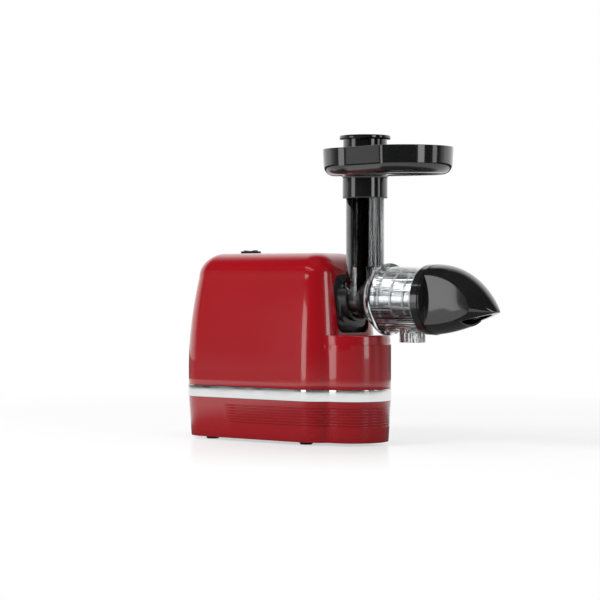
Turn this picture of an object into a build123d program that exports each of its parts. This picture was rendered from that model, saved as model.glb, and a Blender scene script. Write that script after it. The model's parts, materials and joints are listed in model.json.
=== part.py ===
from build123d import *
from math import atan2, copysign, cos, degrees, pi, radians, sin, sqrt, tan
import os

# Horizontal cold press juicer. Millimetres, +Z up, the auger axis along +X, the pulp mouth forward.
# The sizes below have x = 0 in the middle of the body; write() moves the parts so that the origin
# lies on the table under the middle of the whole juicer.

# ---- overall sizes ----
body_length = 248.0
body_width = 130.0
body_height = 243.0
corner_radius = 36.0
top_rounding = 32.0
wall = 2.8
wall_levels = [0, 0.22, 0.45, 0.65, 0.85]
rounding_angles = [0, 22, 44, 64, 80, 90]

# The auger axis lies axis_drop below the top, and what it carries takes its height from it.
axis_drop = 59.0
axis_height = body_height - axis_drop

# The walls stand upright up to lean_start, then lean in by lean_inset below the top rounding.
lean_start = 92.0
lean_inset = 12.0
corner_share = 0.65

# ---- lower front nose: an upright half round with a crease and a slightly smaller cap above it ----
nose_radius = 48.0
nose_centre_x = 121.0
nose_blend = 9.0
nose_drop = 45.0
crease_drop = 12.0
crease_inset = 0.5
nose_edge_round = 2.5

# ---- base, trim band, feet ----
foot_gap = 3.5
base_top = 55.2
band_height = 15.4
band_proud = 0.5
band_thickness = 2.4
base_taper = 3.2
rib_count = 7
rib_pitch = 3.6
rib_width = 1.5
rib_depth = 0.8
rib_first = 24.0
rib_start_x = -30.0
spigot_wall = 2.0
spigot_rise = 4.0
spigot_root = 6.0
spigot_weld = 0.4
foot_radius = 9.0
foot_inset = 44.0
foot_side_inset = 21.0
foot_taper = 1.3
foot_stem_radius = 4.5
foot_hole_gap = 0.1
foot_button_radius = 5.8
foot_button_height = 1.8
cover_thickness = 2.6
cover_ledge_width = 3.0
cover_ledge_height = 2.4
vent_count = 9
vent_pitch = 7.0
vent_length = 44.0
vent_width = 3.0
vent_share = 0.2

# ---- fits ----
# Cutters run past the faces that they cut; parts of one solid lap by weld where they would only touch.
past = 1.0
weld = 0.01
slide_gap = 0.4
seat_gap = 0.2
running_gap = 0.05
bearing_fit = 0.02
part_gap = 0.3

# ---- screws ----
screw_radius = 1.9
screw_head_radius = 3.6
screw_head_height = 2.4
post_radius = 5.6
post_offset = 19.5
post_split_height = 62.0
post_height = 50.0
screw_length = 24.0
recess_share = 0.5
recess_floor_share = 0.4
head_seat_depth = 8.0
post_bore = 40.0
post_rib = 2.4
post_rib_lift = 2.0
pie_step = 30.0
pie_reach = 1.3

# ---- front collar that carries the drum ----
collar_half_width = 31.5
collar_rise = 32.0
collar_drop = 42.5
collar_front = 115.0
collar_bore = 22.0
cradle_radius = 28.0
cradle_front = 131.0
chin_steps = 2
chin_step_in = 2.0
chin_step_up = 6.8
chin_front = 123.0
collar_window = 30.0
collar_low_round = 11.0
collar_high_round = 22.0
collar_floor = 2.5
collar_screw_radius = 1.5
collar_screw_head = 2.9
collar_screw_head_height = 1.9
collar_screw_length = 11.0
collar_screw_bore = 9.0
collar_screw_inset = 5.5
collar_screw_drop = 24.0
collar_screw_rise = 20.0
sweep_steps = 5

# ---- drum: neck, bell, flange, shell, chute, spout ----
chute_axis_x = 140.0
chute_radius = 24.0
chute_wall = 3.2
chute_rise = 155.2
chute_split_rise = 40.0
drum_wall = 2.6
neck_radius = 21.6
neck_rear = 101.5
neck_floor = 14.0
neck_wall_width = 3.0
neck_bore_gap = 1.6
seal_thickness = 1.4
seal_lip = 1.6
bell_throat_radius = 24.2
bell_throat_end = 142.0
bell_mouth_radius = 40.6
bell_steps = 6
throat_lead = 0.6
throat_slope = 3.0
drum_flange_x = 176.0
drum_flange_width = 4.0
drum_flange_radius = 45.2
shell_rear_radius = 41.6
shell_front_radius = 39.4
drum_front = 252.0
spout_x = 215.0
spout_radius = 16.0
spout_wall = 2.4
spout_drop = 53.2
lug_count = 3
lug_reach = 2.2
lug_root = 1.0
lug_length = 3.0
lug_angle = 24.0
neck_lug_x = 104.5
neck_lug_first = 60.0
neck_slot_room = 2.0
drum_twist = 40.0

# ---- strainer ----
strainer_rear = 167.0
strainer_front = 240.0
strainer_front_radius = 28.6
strainer_frame_wall = 2.2
strainer_ribs = 8
strainer_hoops = 3
strainer_hoop = 2.4
strainer_bar = 2.6
strainer_rear_ring = 5.0
strainer_front_ring = 6.0
strainer_flange = 3.0
screen_lap = 3.0
seat_room = 0.5
screen_thickness = 0.6

# ---- auger ----
auger_rear = 118.5
shank_radius = 16.0
shank_round = 3.0
shank_length = 8.0
shank_taper = 4.0
press_lead = 4.0
press_gap = 0.8
core_lead = 6.0
auger_core_radius = 11.0
auger_feed_radius = 19.6
auger_press_core_rear = 18.0
auger_press_core_front = 22.5
auger_feed_pitch = 34.0
auger_press_pitch = 30.0
auger_front = 246.0
flight_share = 0.26
pin_radius = 5.0
pin_length = 12.0
hex_across = 12.0
hex_depth = 20.0
socket_wall = 2.5
socket_floor = 1.8

# ---- end cap ----
cap_rear = 243.0
cap_ring_front = 253.0
cap_radius = 43.6
cap_wall = 2.4
cap_groove_width = 3.5
cap_groove_depth = 1.2
cap_shoulder = 2.8
cap_tip_wall = 5.0
cap_crown = 0.6
cap_top_power = 2.65
cap_bottom_power = 1.8
cap_side_power = 2.4
cap_side_fullness = 0.8
cap_widest_drop = 0.3
cap_points = 20
cap_sections = 9
cap_section_crowding = 1.6
flank_offset = 31.5
flank_angle = 4.3
tip_x = 344.4
tip_blunt = 1.0
tip_half_width = 3.0
tip_half_height = 0.6
tip_drop = 14.6
mouth_rear_x = 303.0
mouth_rear_drop = 25.6
mouth_slant = 4.0
cap_twist = 35.0
cap_lug_lead = 3.2
cap_lug_first = 30.0
cap_slot_room = 1.5
pin_end_play = 1.0
bush_wall = 3.2
bush_cover = 3.0
arm_width = 3.0

# ---- hopper and pusher ----
hopper_depth = 34.0
hopper_wall = 2.4
lobe_radius = 63.0
lobe_offset = 60.0
narrow_radius = 50.0
narrow_offset = -4.5
hopper_flare = 1.5
hopper_bottom_round = 13.0
sleeve_radius = 28.5
sleeve_length = 28.2
pusher_foot_rise = 43.0
pusher_gap = 0.6
pusher_head_radius = 27.8
pusher_head_rise = 11.9
pusher_flange_radius = 32.4
pusher_flange_height = 5.0
pusher_wall = 2.4
pusher_foot_round = 2.0
pusher_flange_round = 1.6
pusher_stem_radius = chute_radius - chute_wall - pusher_gap
pusher_bore = pusher_stem_radius - pusher_wall

# ---- switch on the top ----
switch_x = -52.0
switch_length = 25.0
switch_width = 15.0
switch_proud = 3.0
switch_lip = 1.6
switch_wall = 1.2
switch_depth = 17.0
switch_block = 8.0
switch_corner = 2.5
switch_edge_round = 1.0
rocker_rise = 1.4
rocker_dip = 1.2
rocker_depth = 3.2
rocker_taper = 1.6
rocker_end_gap = 0.7
rocker_pin_radius = 1.0
rocker_pin_lift = 0.4
terminal_pitch = 6.0
terminal_thickness = 0.8
terminal_width = 6.2
terminal_length = 8.0

# ---- gear train: motor pinion to output gear, three spur stages ----
pressure_angle = 25.0
tooth_addendum = 0.92
tooth_dedendum = 1.18
flank_points = 5
stage_module = [0.8, 1.0, 1.25]
pinion_teeth = [12, 12, 12]
wheel_teeth = [60, 54, 60]
stage_width = [7.0, 9.0, 13.0]
stage_gap = 3.0
first_gear_direction = 35.0
gearbox_side_room = 6.7
gear_backlash = 0.12
gear_pin_radius = 3.0
gear_hub_wall = 1.8
gear_hub_step = 2.0
gear_rim_share = 0.82
gear_dish = 1.6
hub_proud = 0.8
pinion_lap = 0.5
output_hub_wall = 6.0
output_dish = 2.5
output_hole_count = 6
output_hole_radius = 5.0
pin_socket = 2.4
pin_boss_wall = 2.6
pin_boss_gap = 1.2
cover_pin_boss = 3.0
motor_lobe_radius = 17.0
case_motor_gap = 1.2
shaft_end_room = 1.6
shaft_seal_wall = 3.4
screw_tab_wall = 1.6
gearbox_front = 93.0
gearbox_wall = 2.6
gearbox_gap = 2.4
output_gear_gap = 4.0
first_gear_gap = 2.6
bearing_lead = 1.6
cover_plate = 3.4
cover_boss = 4.0
output_shaft_radius = 8.0
key_depth = 1.5
output_shaft_front = 137.0
bearing_outer = 13.0
bearing_width = 7.0
bearing_wall = 2.2
race_share = 0.3
ball_count = 8

# ---- motor ----
motor_shaft_radius = 4.0
shaft_nose_radius = 2.4
shaft_tail = 2.0
shaft_way = 1.2
stator_front = 30.0
stator_length = 50.0
stator_half = 33.0
stator_corner = 12.0
stator_bore = 21.0
pole_reach = 3.0
yoke_width = 6.0
pocket_half = 15.0
coil_gap = 0.6
coil_overhang = 8.0
coil_round = 1.6
air_gap = 0.5
bracket_thickness = 3.0
bracket_hub = 12.0
bracket_rim = 9.0
bracket_window = 20.0
motor_cup_wall = 2.4
motor_cup_floor = 1.5
armature_slots = 12
slot_radius = 2.2
slot_depth = 1.2
winding_length = 6.0
winding_gap = 4.0
winding_round = 2.4
commutator_radius = 11.0
commutator_length = 13.0
commutator_gap = 1.0
commutator_bars = 24
commutator_lip = 2.0
slit_width = 0.5
slit_depth = 1.4
brush_lead = 3.0
brush_width = 7.0
brush_thickness = 6.0
brush_length = 13.0
holder_wall = 1.4
holder_gap = 0.1
holder_reach = 6.0
holder_arm_lift = 9.0
motor_rear = -54.0
fan_gap = 6.0
fan_width = 11.0
fan_radius = 32.0
fan_blades = 9
fan_blade = 1.6
fan_disc = 1.6
fan_hub_radius = 8.0
motor_bearing_outer = 8.0
motor_bearing_width = 6.0
tie_radius = 2.0
tie_offset = 27.5
tie_wall = 2.6
tie_head_radius = 3.8
tie_head_height = 2.4

# ---- motor cradle and control board ----
cradle_drop = 16.0
cradle_plate = 3.0
cradle_side_drop = 8.0
cradle_side_inset = 6.0
cradle_end_inset = 10.0
cradle_post_radius = 4.2
cradle_rib = 2.4
cradle_rib_offset = 14.0
bush_radius = 6.0
bush_height = 6.3
board_x = -100.0
board_z = 150.0
board_thickness = 1.6
board_half_width = 38.0
board_half_height = 30.0
standoff_radius = 3.0
standoff_side = 24.0
standoff_rise = 26.0
# Round cans: radius, reach, y, height from the board's middle. Blocks: reach, left, right, low, high.
board_cans = [(6.0, 18.4, -18.0, 12.0), (5.0, 14.4, -2.0, 14.0)]
board_blocks = [(10.4, 12.0, 28.0, -4.0, 18.0), (7.4, -28.0, -8.0, -20.0, -6.0),
                (12.4, 4.0, 26.0, -24.0, -12.0)]

# ---- cord inlet ----
inlet_height = 30.0
inlet_radius = 8.0
inlet_neck_radius = 6.24
inlet_bore = 3.2
inlet_depth = 14.0
inlet_flange = 3.8
inlet_clip = 2.6
inlet_lean_room = 0.6

# Along the auger axis the gearbox is laid out backwards from its cover.
stage_rear = [0.0, 0.0, gearbox_front - output_gear_gap - stage_width[2]]
stage_rear[1] = stage_rear[2] - stage_gap - stage_width[1]
stage_rear[0] = stage_rear[1] - stage_gap - stage_width[0]
gearbox_rear = stage_rear[0] - cover_plate - first_gear_gap
collar_rear = gearbox_front + cover_plate
output_shaft_rear = gearbox_rear + cover_plate
motor_front = gearbox_rear
fan_front = motor_rear - fan_gap
cover_bearing_rear = stage_rear[2] + stage_width[2] + bearing_lead
pin_rear = gearbox_rear + cover_plate - pin_socket
pin_front = gearbox_front
pinion_front = stage_rear[0] + stage_width[0] + pinion_lap
stator_rear = stator_front - stator_length
commutator_rear = stator_rear - winding_length - commutator_gap - commutator_length
neck_wall_front = neck_rear + neck_floor
neck_bore = output_shaft_radius + neck_bore_gap
socket_across = hex_across + 2 * socket_wall
cap_lug_x = cap_rear + cap_lug_lead
beak_rear = cap_ring_front + cap_groove_width
board_face = board_x + board_thickness

# Heights of the trim band and the switch, and those that hang on the auger axis.
band_top = base_top + band_height
spigot_top = band_top + spigot_rise
rocker_axis_z = body_height + rocker_pin_lift
nose_top = axis_height - nose_drop
crease_height = nose_top - crease_drop
collar_top = axis_height + collar_rise
collar_bottom = axis_height - collar_drop
chute_top = axis_height + chute_rise
chute_split = axis_height + chute_split_rise
spout_bottom = axis_height - spout_drop
spout_split = axis_height - shell_rear_radius
tip_height = axis_height - tip_drop
mouth_rear_height = axis_height - mouth_rear_drop
hopper_floor = chute_top + part_gap
hopper_rim = hopper_floor + hopper_depth
sleeve_bottom = hopper_floor - sleeve_length
pusher_foot = axis_height + pusher_foot_rise
pusher_head_bottom = hopper_floor + hopper_wall + part_gap
pusher_head_top = hopper_rim + pusher_head_rise
pusher_top = pusher_head_top + pusher_flange_height

X = Vector(1, 0, 0)
drum_axis = Axis((0, 0, axis_height), (1, 0, 0))
centre_min = (Align.CENTER, Align.CENTER, Align.MIN)


# ---- small helpers ----
def block(x_low, x_high, y_low, y_high, z_low, z_high):
    size = (x_high - x_low, y_high - y_low, z_high - z_low)
    return Pos(x_low, y_low, z_low) * Box(*size, align=(Align.MIN, Align.MIN, Align.MIN))


def rod_x(radius, x_low, x_high, y=0.0, z=axis_height):
    return Pos(x_low, y, z) * Rot(0, 90, 0) * Cylinder(radius, x_high - x_low, align=centre_min)


def tube_x(outer, inner, x_low, x_high, y=0.0, z=axis_height):
    return rod_x(outer, x_low, x_high, y, z) - rod_x(inner, x_low - 1, x_high + 1, y, z)


def rod_z(radius, x, y, z_low, z_high):
    return Pos(x, y, z_low) * Cylinder(radius, z_high - z_low, align=centre_min)


def tube_z(outer, inner, x, y, z_low, z_high):
    return rod_z(outer, x, y, z_low, z_high) - rod_z(inner, x, y, z_low - 1, z_high + 1)


def turned_x(points):
    """Revolve a closed outline of (x, radius) points about the auger axis."""
    outline = Polyline([(x, 0, axis_height + radius) for x, radius in points], close=True)
    return revolve(make_face(outline), drum_axis, 360)


def pie(reach, start, end):
    """A flat pie slice whose corners stand outside a circle of radius reach. Angles run from +X to +Y."""
    corners = [(0, 0)]
    steps = int((end - start) / pie_step) + 2
    for i in range(steps + 1):
        angle = radians(start + (end - start) * i / steps)
        corners.append((reach * pie_reach * cos(angle), reach * pie_reach * sin(angle)))
    return make_face(Polyline(corners, close=True)) & Circle(reach)


def sector_x(radius, x_low, x_high, start, end):
    """A pie slice about the auger axis. Angles run from +Z towards +Y."""
    plane = Plane.YZ.offset(x_low) * Pos(0, axis_height)
    return extrude(plane * pie(radius, 90 - end, 90 - start), x_high - x_low)


def screw(radius, head_radius, head_height, length):
    """A socket screw along +Z, the underside of its head at the origin, the shank downwards."""
    head = Cylinder(head_radius, head_height, align=centre_min)
    recess = extrude(RegularPolygon(head_radius * recess_share, 6), head_height)
    shank = Pos(0, 0, -length) * Cylinder(radius, length, align=centre_min)
    return head + shank - Pos(0, 0, head_height * recess_floor_share) * recess


def write(name, shape):
    """Write a solid, or a list of solids as one node."""
    if isinstance(shape, list):
        moved = Compound(children=[Pos(-middle_x(), 0, 0) * solid for solid in shape])
    else:
        moved = Pos(-middle_x(), 0, 0) * shape
    export_step(moved, f"parts/{name}.step")


# ---- the body's outline at each height ----
def box_outline(inset):
    """The body's plan without its nose. The corners tighten a little less than the walls step in."""
    radius = corner_radius - corner_share * inset
    return RectangleRounded(body_length - 2 * inset, body_width - 2 * inset, radius)


def plan_outline(inset, lean=0.0):
    """The plan with the round nose in front, blended at the sides. Only the box leans, not the nose."""
    reach = nose_radius - inset
    joined = box_outline(inset + lean) + Pos(nose_centre_x, 0) * Circle(reach)
    centre = Vector(nose_centre_x, 0, 0)

    def on_nose(vertex):
        return abs((Vector(vertex.X, vertex.Y, 0) - centre).length - reach) < weld

    corners = [vertex for vertex in joined.vertices() if on_nose(vertex)]
    return fillet(corners, nose_blend + inset)


def lean_at(z):
    """How far the wall stands in from its foot at this height."""
    top = body_height - top_rounding
    if z <= lean_start:
        return 0.0
    return lean_inset * ((min(z, top) - lean_start) / (top - lean_start)) ** 2


def body_form(shrink, bottom):
    """The upper body as one smooth form, shrunk inwards by shrink."""
    shoulder = body_height - top_rounding
    levels = [bottom + (shoulder - bottom) * share for share in wall_levels]
    sections = [Plane.XY.offset(z) * box_outline(shrink + lean_at(z)) for z in levels]
    for angle in rounding_angles:
        radius = top_rounding - shrink
        z = shoulder + radius * sin(radians(angle))
        inset = lean_inset + top_rounding - radius * cos(radians(angle))
        sections.append(Plane.XY.offset(z) * box_outline(inset))
    return loft(sections)


post_x = body_length / 2 - corner_radius + post_offset * cos(radians(45))
post_y = body_width / 2 - corner_radius + post_offset * sin(radians(45))
post_places = [(x, y) for x in (-post_x, post_x) for y in (-post_y, post_y)]


def upper_body(shrink, bottom):
    """Upper body with its nose, as one solid form."""
    lower = extrude(Plane.XY.offset(bottom) * plan_outline(shrink), lean_start - bottom)
    levels = [lean_start + (crease_height - lean_start) * share for share in (0, 0.5, 1)]
    leaning = loft([Plane.XY.offset(z) * plan_outline(shrink, lean_at(z)) for z in levels])
    nose_cap = rod_z(nose_radius - crease_inset - shrink, nose_centre_x, 0, crease_height, nose_top - shrink)
    nose_cap = fillet(nose_cap.edges().sort_by(Axis.Z)[-1], nose_edge_round)
    return lower + leaning + body_form(shrink, crease_height) + nose_cap


# ---- body shells ----
def make_upper_housing():
    shell = upper_body(0, band_top) - upper_body(wall, band_top - past)
    shell -= collar_form(collar_rear - collar_window, collar_front + collar_window, seat_gap)
    shell -= switch_hole()
    post_top = post_split_height + post_height
    room = upper_body(wall / 2, band_top) + block(-body_length, body_length, -body_width, body_width, 0,
                                                  band_top)
    for x, y in post_places:
        post = rod_z(post_radius, x, y, post_split_height, post_top)
        rib_low, rib_high = sorted((y, copysign(body_width / 2 - wall / 2, y)))
        rib = block(x - post_rib / 2, x + post_rib / 2, rib_low, rib_high, spigot_top + post_rib_lift,
                    post_top)
        shell += (post + rib) & room
        shell -= rod_z(screw_radius + running_gap, x, y, post_split_height - past,
                       post_split_height + post_bore)
    return shell


def make_trim_band():
    outer = plan_outline(-band_proud)
    inner = plan_outline(band_thickness)
    band = extrude(Plane.XY.offset(base_top) * (outer - inner), band_height)
    return chamfer(band.faces().sort_by(Axis.Z)[-1].outer_wire().edges(), band_proud)


def base_form(shrink, low, high):
    """The tapered lower body between two heights."""
    sections = [Plane.XY.offset(z) * plan_outline(shrink + base_inset(z)) for z in (low, high)]
    return loft(sections, ruled=True)


def base_inset(z):
    """How far the base's wall stands in at this height below the trim band."""
    return base_taper * (base_top - z) / (base_top - foot_gap)


def make_base_housing():
    shell = base_form(0, foot_gap, base_top) - base_form(wall, foot_gap, base_top)
    spigot_inset = wall + part_gap
    spigot_low = base_top - spigot_root
    spigot = plan_outline(spigot_inset) - plan_outline(spigot_inset + spigot_wall)
    shoulder = plan_outline(wall - spigot_weld) - plan_outline(spigot_inset)
    shell += extrude(Plane.XY.offset(spigot_low) * spigot, spigot_top - spigot_low)
    shell += extrude(Plane.XY.offset(spigot_low) * shoulder, spigot_root)
    ledge_low = foot_gap + cover_thickness + seat_gap
    ledge_high = ledge_low + cover_ledge_height
    shell += base_form(wall / 2, ledge_low, ledge_high) - base_form(wall + cover_ledge_width, ledge_low,
                                                                    ledge_high)
    for i in range(rib_count):
        z = rib_first + i * rib_pitch
        skin = plan_outline(base_inset(z) - rib_depth) - plan_outline(base_inset(z) + rib_depth)
        groove = extrude(Plane.XY.offset(z) * skin, rib_width)
        shell -= groove & block(rib_start_x, body_length, -body_width, body_width, z - past,
                                z + rib_width + past)
    rear = inlet_rear()
    return shell - rod_x(inlet_neck_radius + part_gap, rear, rear + inlet_flange + inlet_depth, 0,
                         inlet_height)


def make_bottom_cover():
    low = foot_gap
    high = low + cover_thickness
    plate = extrude(Plane.XY.offset(low) * plan_outline(wall + part_gap + base_inset(low)), cover_thickness)
    for x, y in post_places:
        plate += rod_z(post_radius, x, y, (low + high) / 2, post_split_height - part_gap)
        plate -= rod_z(screw_head_radius + slide_gap, x, y, low - past, post_split_height - head_seat_depth)
        plate -= rod_z(screw_radius + part_gap, x, y, low - past, post_split_height + past)
    for i in range(vent_count):
        x = (i - (vent_count - 1) / 2) * vent_pitch - body_length * vent_share
        slot = SlotOverall(vent_length, vent_width, rotation=90)
        plate -= extrude(Plane.XY.offset(low - past) * Pos(x, 0) * slot, cover_thickness + 2 * past)
    for x, y in foot_places():
        plate -= rod_z(foot_stem_radius + foot_hole_gap, x, y, low - past, high + past)
    for y in cradle_sides():
        for x in cradle_places():
            plate += rod_z(cradle_post_radius, x, y, (low + high) / 2, cradle_low())
    return plate


def foot_places():
    reach_x = body_length / 2 - foot_inset
    reach_y = body_width / 2 - foot_side_inset
    return [(x, y) for x in (-reach_x, reach_x) for y in (-reach_y, reach_y)]


def make_rubber_feet():
    stem_top = foot_gap + cover_thickness + seat_gap
    feet = []
    for x, y in foot_places():
        pad = Pos(x, y, 0) * Cone(foot_radius - foot_taper, foot_radius, foot_gap, align=centre_min)
        stem = rod_z(foot_stem_radius, x, y, foot_gap, stem_top)
        button = rod_z(foot_button_radius, x, y, stem_top, stem_top + foot_button_height)
        feet.append(pad + stem + button)
    return feet


def make_base_screws():
    turned = Rot(180, 0, 0) * screw(screw_radius, screw_head_radius, screw_head_height, screw_length)
    return [Pos(x, y, post_split_height - head_seat_depth) * turned for x, y in post_places]


# ---- front collar ----
def collar_form(x_low, x_high, grow, step=0):
    """The collar's outline: a rounded upright plate; step draws its lower part in."""
    half = collar_half_width + grow - step * chin_step_in
    top = collar_top + grow
    bottom = collar_bottom - grow + step * chin_step_up
    outline = Pos(0, (top + bottom) / 2) * Rectangle(2 * half, top - bottom)
    outline = fillet(outline.vertices().sort_by(Axis.Y)[:2], collar_low_round + grow)
    outline = fillet(outline.vertices().sort_by(Axis.Y)[-2:], collar_high_round + grow)
    return extrude(Plane.YZ.offset(x_low) * outline, x_high - x_low)


def chute_sweep(gap):
    """The space that the chute sweeps in front of the body as the drum turns to come off."""
    radius = chute_radius + gap
    square = block(chute_axis_x - radius, chute_axis_x + radius, -radius, radius, axis_height,
                   collar_top + radius)
    swept = square
    for i in range(1, sweep_steps):
        swept += square.rotate(drum_axis, -drum_twist * i / (sweep_steps - 1))
    return swept


def bayonet_slots(radius, x_low, x_high, first, gap):
    """Pie slices of a lug's width, gap degrees wider at each side, the first one at the angle first."""
    half = lug_angle / 2 + gap
    middles = [first + 360 / lug_count * i for i in range(lug_count)]
    return [sector_x(radius, x_low, x_high, middle - half, middle + half) for middle in middles]


def make_front_collar():
    plate = collar_form(collar_rear, collar_front, 0)
    for i in range(chin_steps):
        step_front = chin_front - (chin_front - collar_front) * i / chin_steps
        chin = collar_form(collar_front - past, step_front, 0, chin_steps - i)
        plate += chin & block(collar_front - past, step_front + past, -body_width, body_width, 0, axis_height)
    plate += rod_x(cradle_radius, collar_front - past, cradle_front)
    plate -= rod_x(collar_bore, collar_rear + collar_floor, cradle_front + past)
    plate -= rod_x(bell_throat_radius + slide_gap, collar_front - slide_gap, cradle_front + past)
    plate -= rod_x(bearing_outer + bearing_wall + part_gap, collar_rear - past, collar_rear + cover_boss)
    plate -= chute_sweep(slide_gap) & block(collar_front, body_length, -body_width, body_width, 0,
                                            body_height)
    lug_room = neck_radius + lug_reach + slide_gap
    plate -= rod_x(lug_room, neck_lug_x - slide_gap, neck_lug_x + lug_length + slide_gap)
    for slot in bayonet_slots(lug_room, neck_lug_x, cradle_front + past, drum_twist + neck_lug_first,
                              neck_slot_room):
        plate -= slot
    for y, z in collar_screw_places():
        plate -= rod_x(collar_screw_radius + running_gap, collar_rear - past,
                       collar_rear + collar_screw_bore, y, z)
    return plate


def collar_screw_places():
    side = collar_half_width - collar_screw_inset
    heights = (axis_height - collar_screw_drop, axis_height + collar_screw_rise)
    return [(y, z) for y in (-side, side) for z in heights]


# ---- drum ----
def cone_radius(x, x_low, x_high, low, high):
    return low + (high - low) * (x - x_low) / (x_high - x_low)


def bell_radius(x):
    """The bell's outer radius between the narrow throat behind the chute and the flange, an S-curve."""
    share = (x - bell_throat_end) / (drum_flange_x - bell_throat_end)
    return bell_throat_radius + (bell_mouth_radius - bell_throat_radius) * (1 - cos(pi * share)) / 2


def bell_points(shrink):
    length = drum_flange_x - bell_throat_end
    places = [bell_throat_end + length * i / bell_steps for i in range(bell_steps + 1)]
    return [(x, bell_radius(x) - shrink) for x in places]


def bell_form(shrink):
    """The solid inside the bell's curve."""
    bell = Spline([(x, 0, axis_height + r) for x, r in bell_points(shrink)])
    start, end = bell @ 0, bell @ 1
    floor = Polyline([end, (end.X, 0, axis_height), (start.X, 0, axis_height), start])
    return revolve(make_face([bell, floor]), drum_axis, 360)


def throat_form(rear, radius, slope, shrink):
    """The throat behind the bell, opening from radius at its rear over the length slope."""
    throat = bell_throat_radius - shrink
    return turned_x([(rear, 0), (rear, radius), (rear + slope, throat), (bell_throat_end + weld, throat),
                     (bell_throat_end + weld, 0)])


def drum_outside():
    throat_rear = chute_axis_x - chute_radius - throat_lead
    form = rod_x(neck_radius, neck_rear, throat_rear + throat_slope / 2)
    form += throat_form(throat_rear, neck_radius, throat_slope, 0) + bell_form(0)
    form += rod_x(drum_flange_radius, drum_flange_x, drum_flange_x + drum_flange_width)
    form += turned_x([(drum_flange_x, 0), (drum_flange_x, shell_rear_radius),
                      (drum_front, shell_front_radius), (drum_front, 0)])
    return form


def drum_inside():
    form = throat_form(neck_wall_front, neck_radius - drum_wall, throat_slope + drum_wall / 2, drum_wall)
    form += bell_form(drum_wall)
    rear_inner = shell_rear_radius - drum_wall
    front_inner = shell_front_radius - drum_wall
    form += turned_x([(drum_flange_x - weld, 0), (drum_flange_x - weld, rear_inner),
                      (drum_front + past, front_inner), (drum_front + past, 0)])
    return form


def make_feed_chute():
    return tube_z(chute_radius, chute_radius - chute_wall, chute_axis_x, 0, chute_split, chute_top)


def make_juice_spout():
    return tube_z(spout_radius, spout_radius - spout_wall, spout_x, 0, spout_bottom, spout_split)


def make_drum():
    """The drum with the stubs on which the feed chute and the juice spout stand."""
    outside = drum_outside()
    outside += rod_z(chute_radius, chute_axis_x, 0, axis_height, chute_split)
    outside += rod_z(spout_radius, spout_x, 0, spout_split, axis_height)
    inside = drum_inside()
    inside += rod_z(chute_radius - chute_wall, chute_axis_x, 0, axis_height, chute_split + past)
    inside += rod_z(spout_radius - spout_wall, spout_x, 0, spout_split - past, axis_height)
    drum = outside - inside
    drum -= rod_x(neck_radius - drum_wall, neck_rear - past, neck_wall_front - neck_wall_width)
    drum -= rod_x(neck_bore + seal_thickness, neck_rear - past, neck_wall_front + past)
    drum += lug_ring(neck_radius, neck_lug_x, neck_lug_first)
    return drum + lug_ring(shell_front_radius, cap_lug_x, cap_lug_first)


def lug_ring(radius, x, first):
    """The bayonet lugs on a wall of this radius."""
    core = rod_x(radius - lug_root, x - past, x + lug_length + past)
    slices = bayonet_slots(radius + lug_reach, x, x + lug_length, first, 0)
    lugs = slices[0] - core
    for slice_ in slices[1:]:
        lugs += slice_ - core
    return lugs


def make_drum_seal():
    pocket = neck_wall_front - neck_wall_width
    bore = output_shaft_radius + running_gap
    body = tube_x(neck_bore + seal_thickness - bearing_fit, bore, pocket, neck_wall_front)
    return body + tube_x(neck_bore + seal_thickness + seal_lip, bore, pocket - seal_lip, pocket)


# ---- strainer ----
def strainer_radius(x):
    rear_radius = drum_inner_radius(strainer_rear) - part_gap
    return cone_radius(x, strainer_rear, strainer_front, rear_radius, strainer_front_radius)


def drum_inner_radius(x):
    if x > drum_flange_x:
        return cone_radius(x, drum_flange_x, drum_front, shell_rear_radius, shell_front_radius) - drum_wall
    return bell_radius(x) - drum_wall


def cone_ring(x_low, x_high, outer_extra, inner_extra):
    return turned_x([(x_low, strainer_radius(x_low) + inner_extra),
                     (x_low, strainer_radius(x_low) + outer_extra),
                     (x_high, strainer_radius(x_high) + outer_extra),
                     (x_high, strainer_radius(x_high) + inner_extra)])


def make_strainer_frame():
    inner = -strainer_frame_wall
    open_inner = inner + screen_thickness + seat_gap
    frame = cone_ring(strainer_rear, strainer_rear + strainer_rear_ring, 0, inner)
    frame += cone_ring(strainer_front - strainer_front_ring, strainer_front, 0, inner)
    flange_radius = drum_inner_radius(strainer_front) - part_gap
    frame += tube_x(flange_radius, strainer_radius(strainer_front) + inner, strainer_front - strainer_flange,
                    strainer_front)
    span = strainer_front - strainer_rear
    for i in range(strainer_hoops):
        x = strainer_rear + span * (i + 1) / (strainer_hoops + 1)
        frame += cone_ring(x - strainer_hoop / 2, x + strainer_hoop / 2, 0, open_inner)
    bars = cone_ring(strainer_rear + past, strainer_front - past, 0, open_inner)
    bar = block(strainer_rear, strainer_front, -strainer_bar / 2, strainer_bar / 2, axis_height,
                axis_height + 2 * shell_rear_radius)
    for i in range(strainer_ribs):
        frame += bars & bar.rotate(drum_axis, 360 / strainer_ribs * (i + 0.5))
    seat = cone_ring(strainer_rear + screen_lap - seat_room, strainer_front - screen_lap - past + seat_room,
                     open_inner, inner - past)
    return frame - seat


def make_strainer_screen():
    inner = -strainer_frame_wall
    return cone_ring(strainer_rear + screen_lap, strainer_front - screen_lap - past,
                     inner + screen_thickness, inner)


# ---- auger and drive ----
def twisted(core, reach, x_low, x_high, pitch, starts, phase=0.0):
    """A screw: a core with flights, drawn as one section that turns as it runs forward."""
    section = Circle(core)
    half = 360 * flight_share / 2
    for i in range(starts):
        middle = 360 / starts * i + phase
        section += pie(reach, middle - half, middle + half)
    plane = Plane.YZ.offset(x_low)
    face = (plane * section).faces()[0]
    turn = 360 * (x_high - x_low) / pitch
    screw_form = Solid.extrude_linear_with_rotation(face, plane.origin, X * (x_high - x_low), turn)
    return Part() + Pos(0, 0, axis_height) * screw_form


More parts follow.
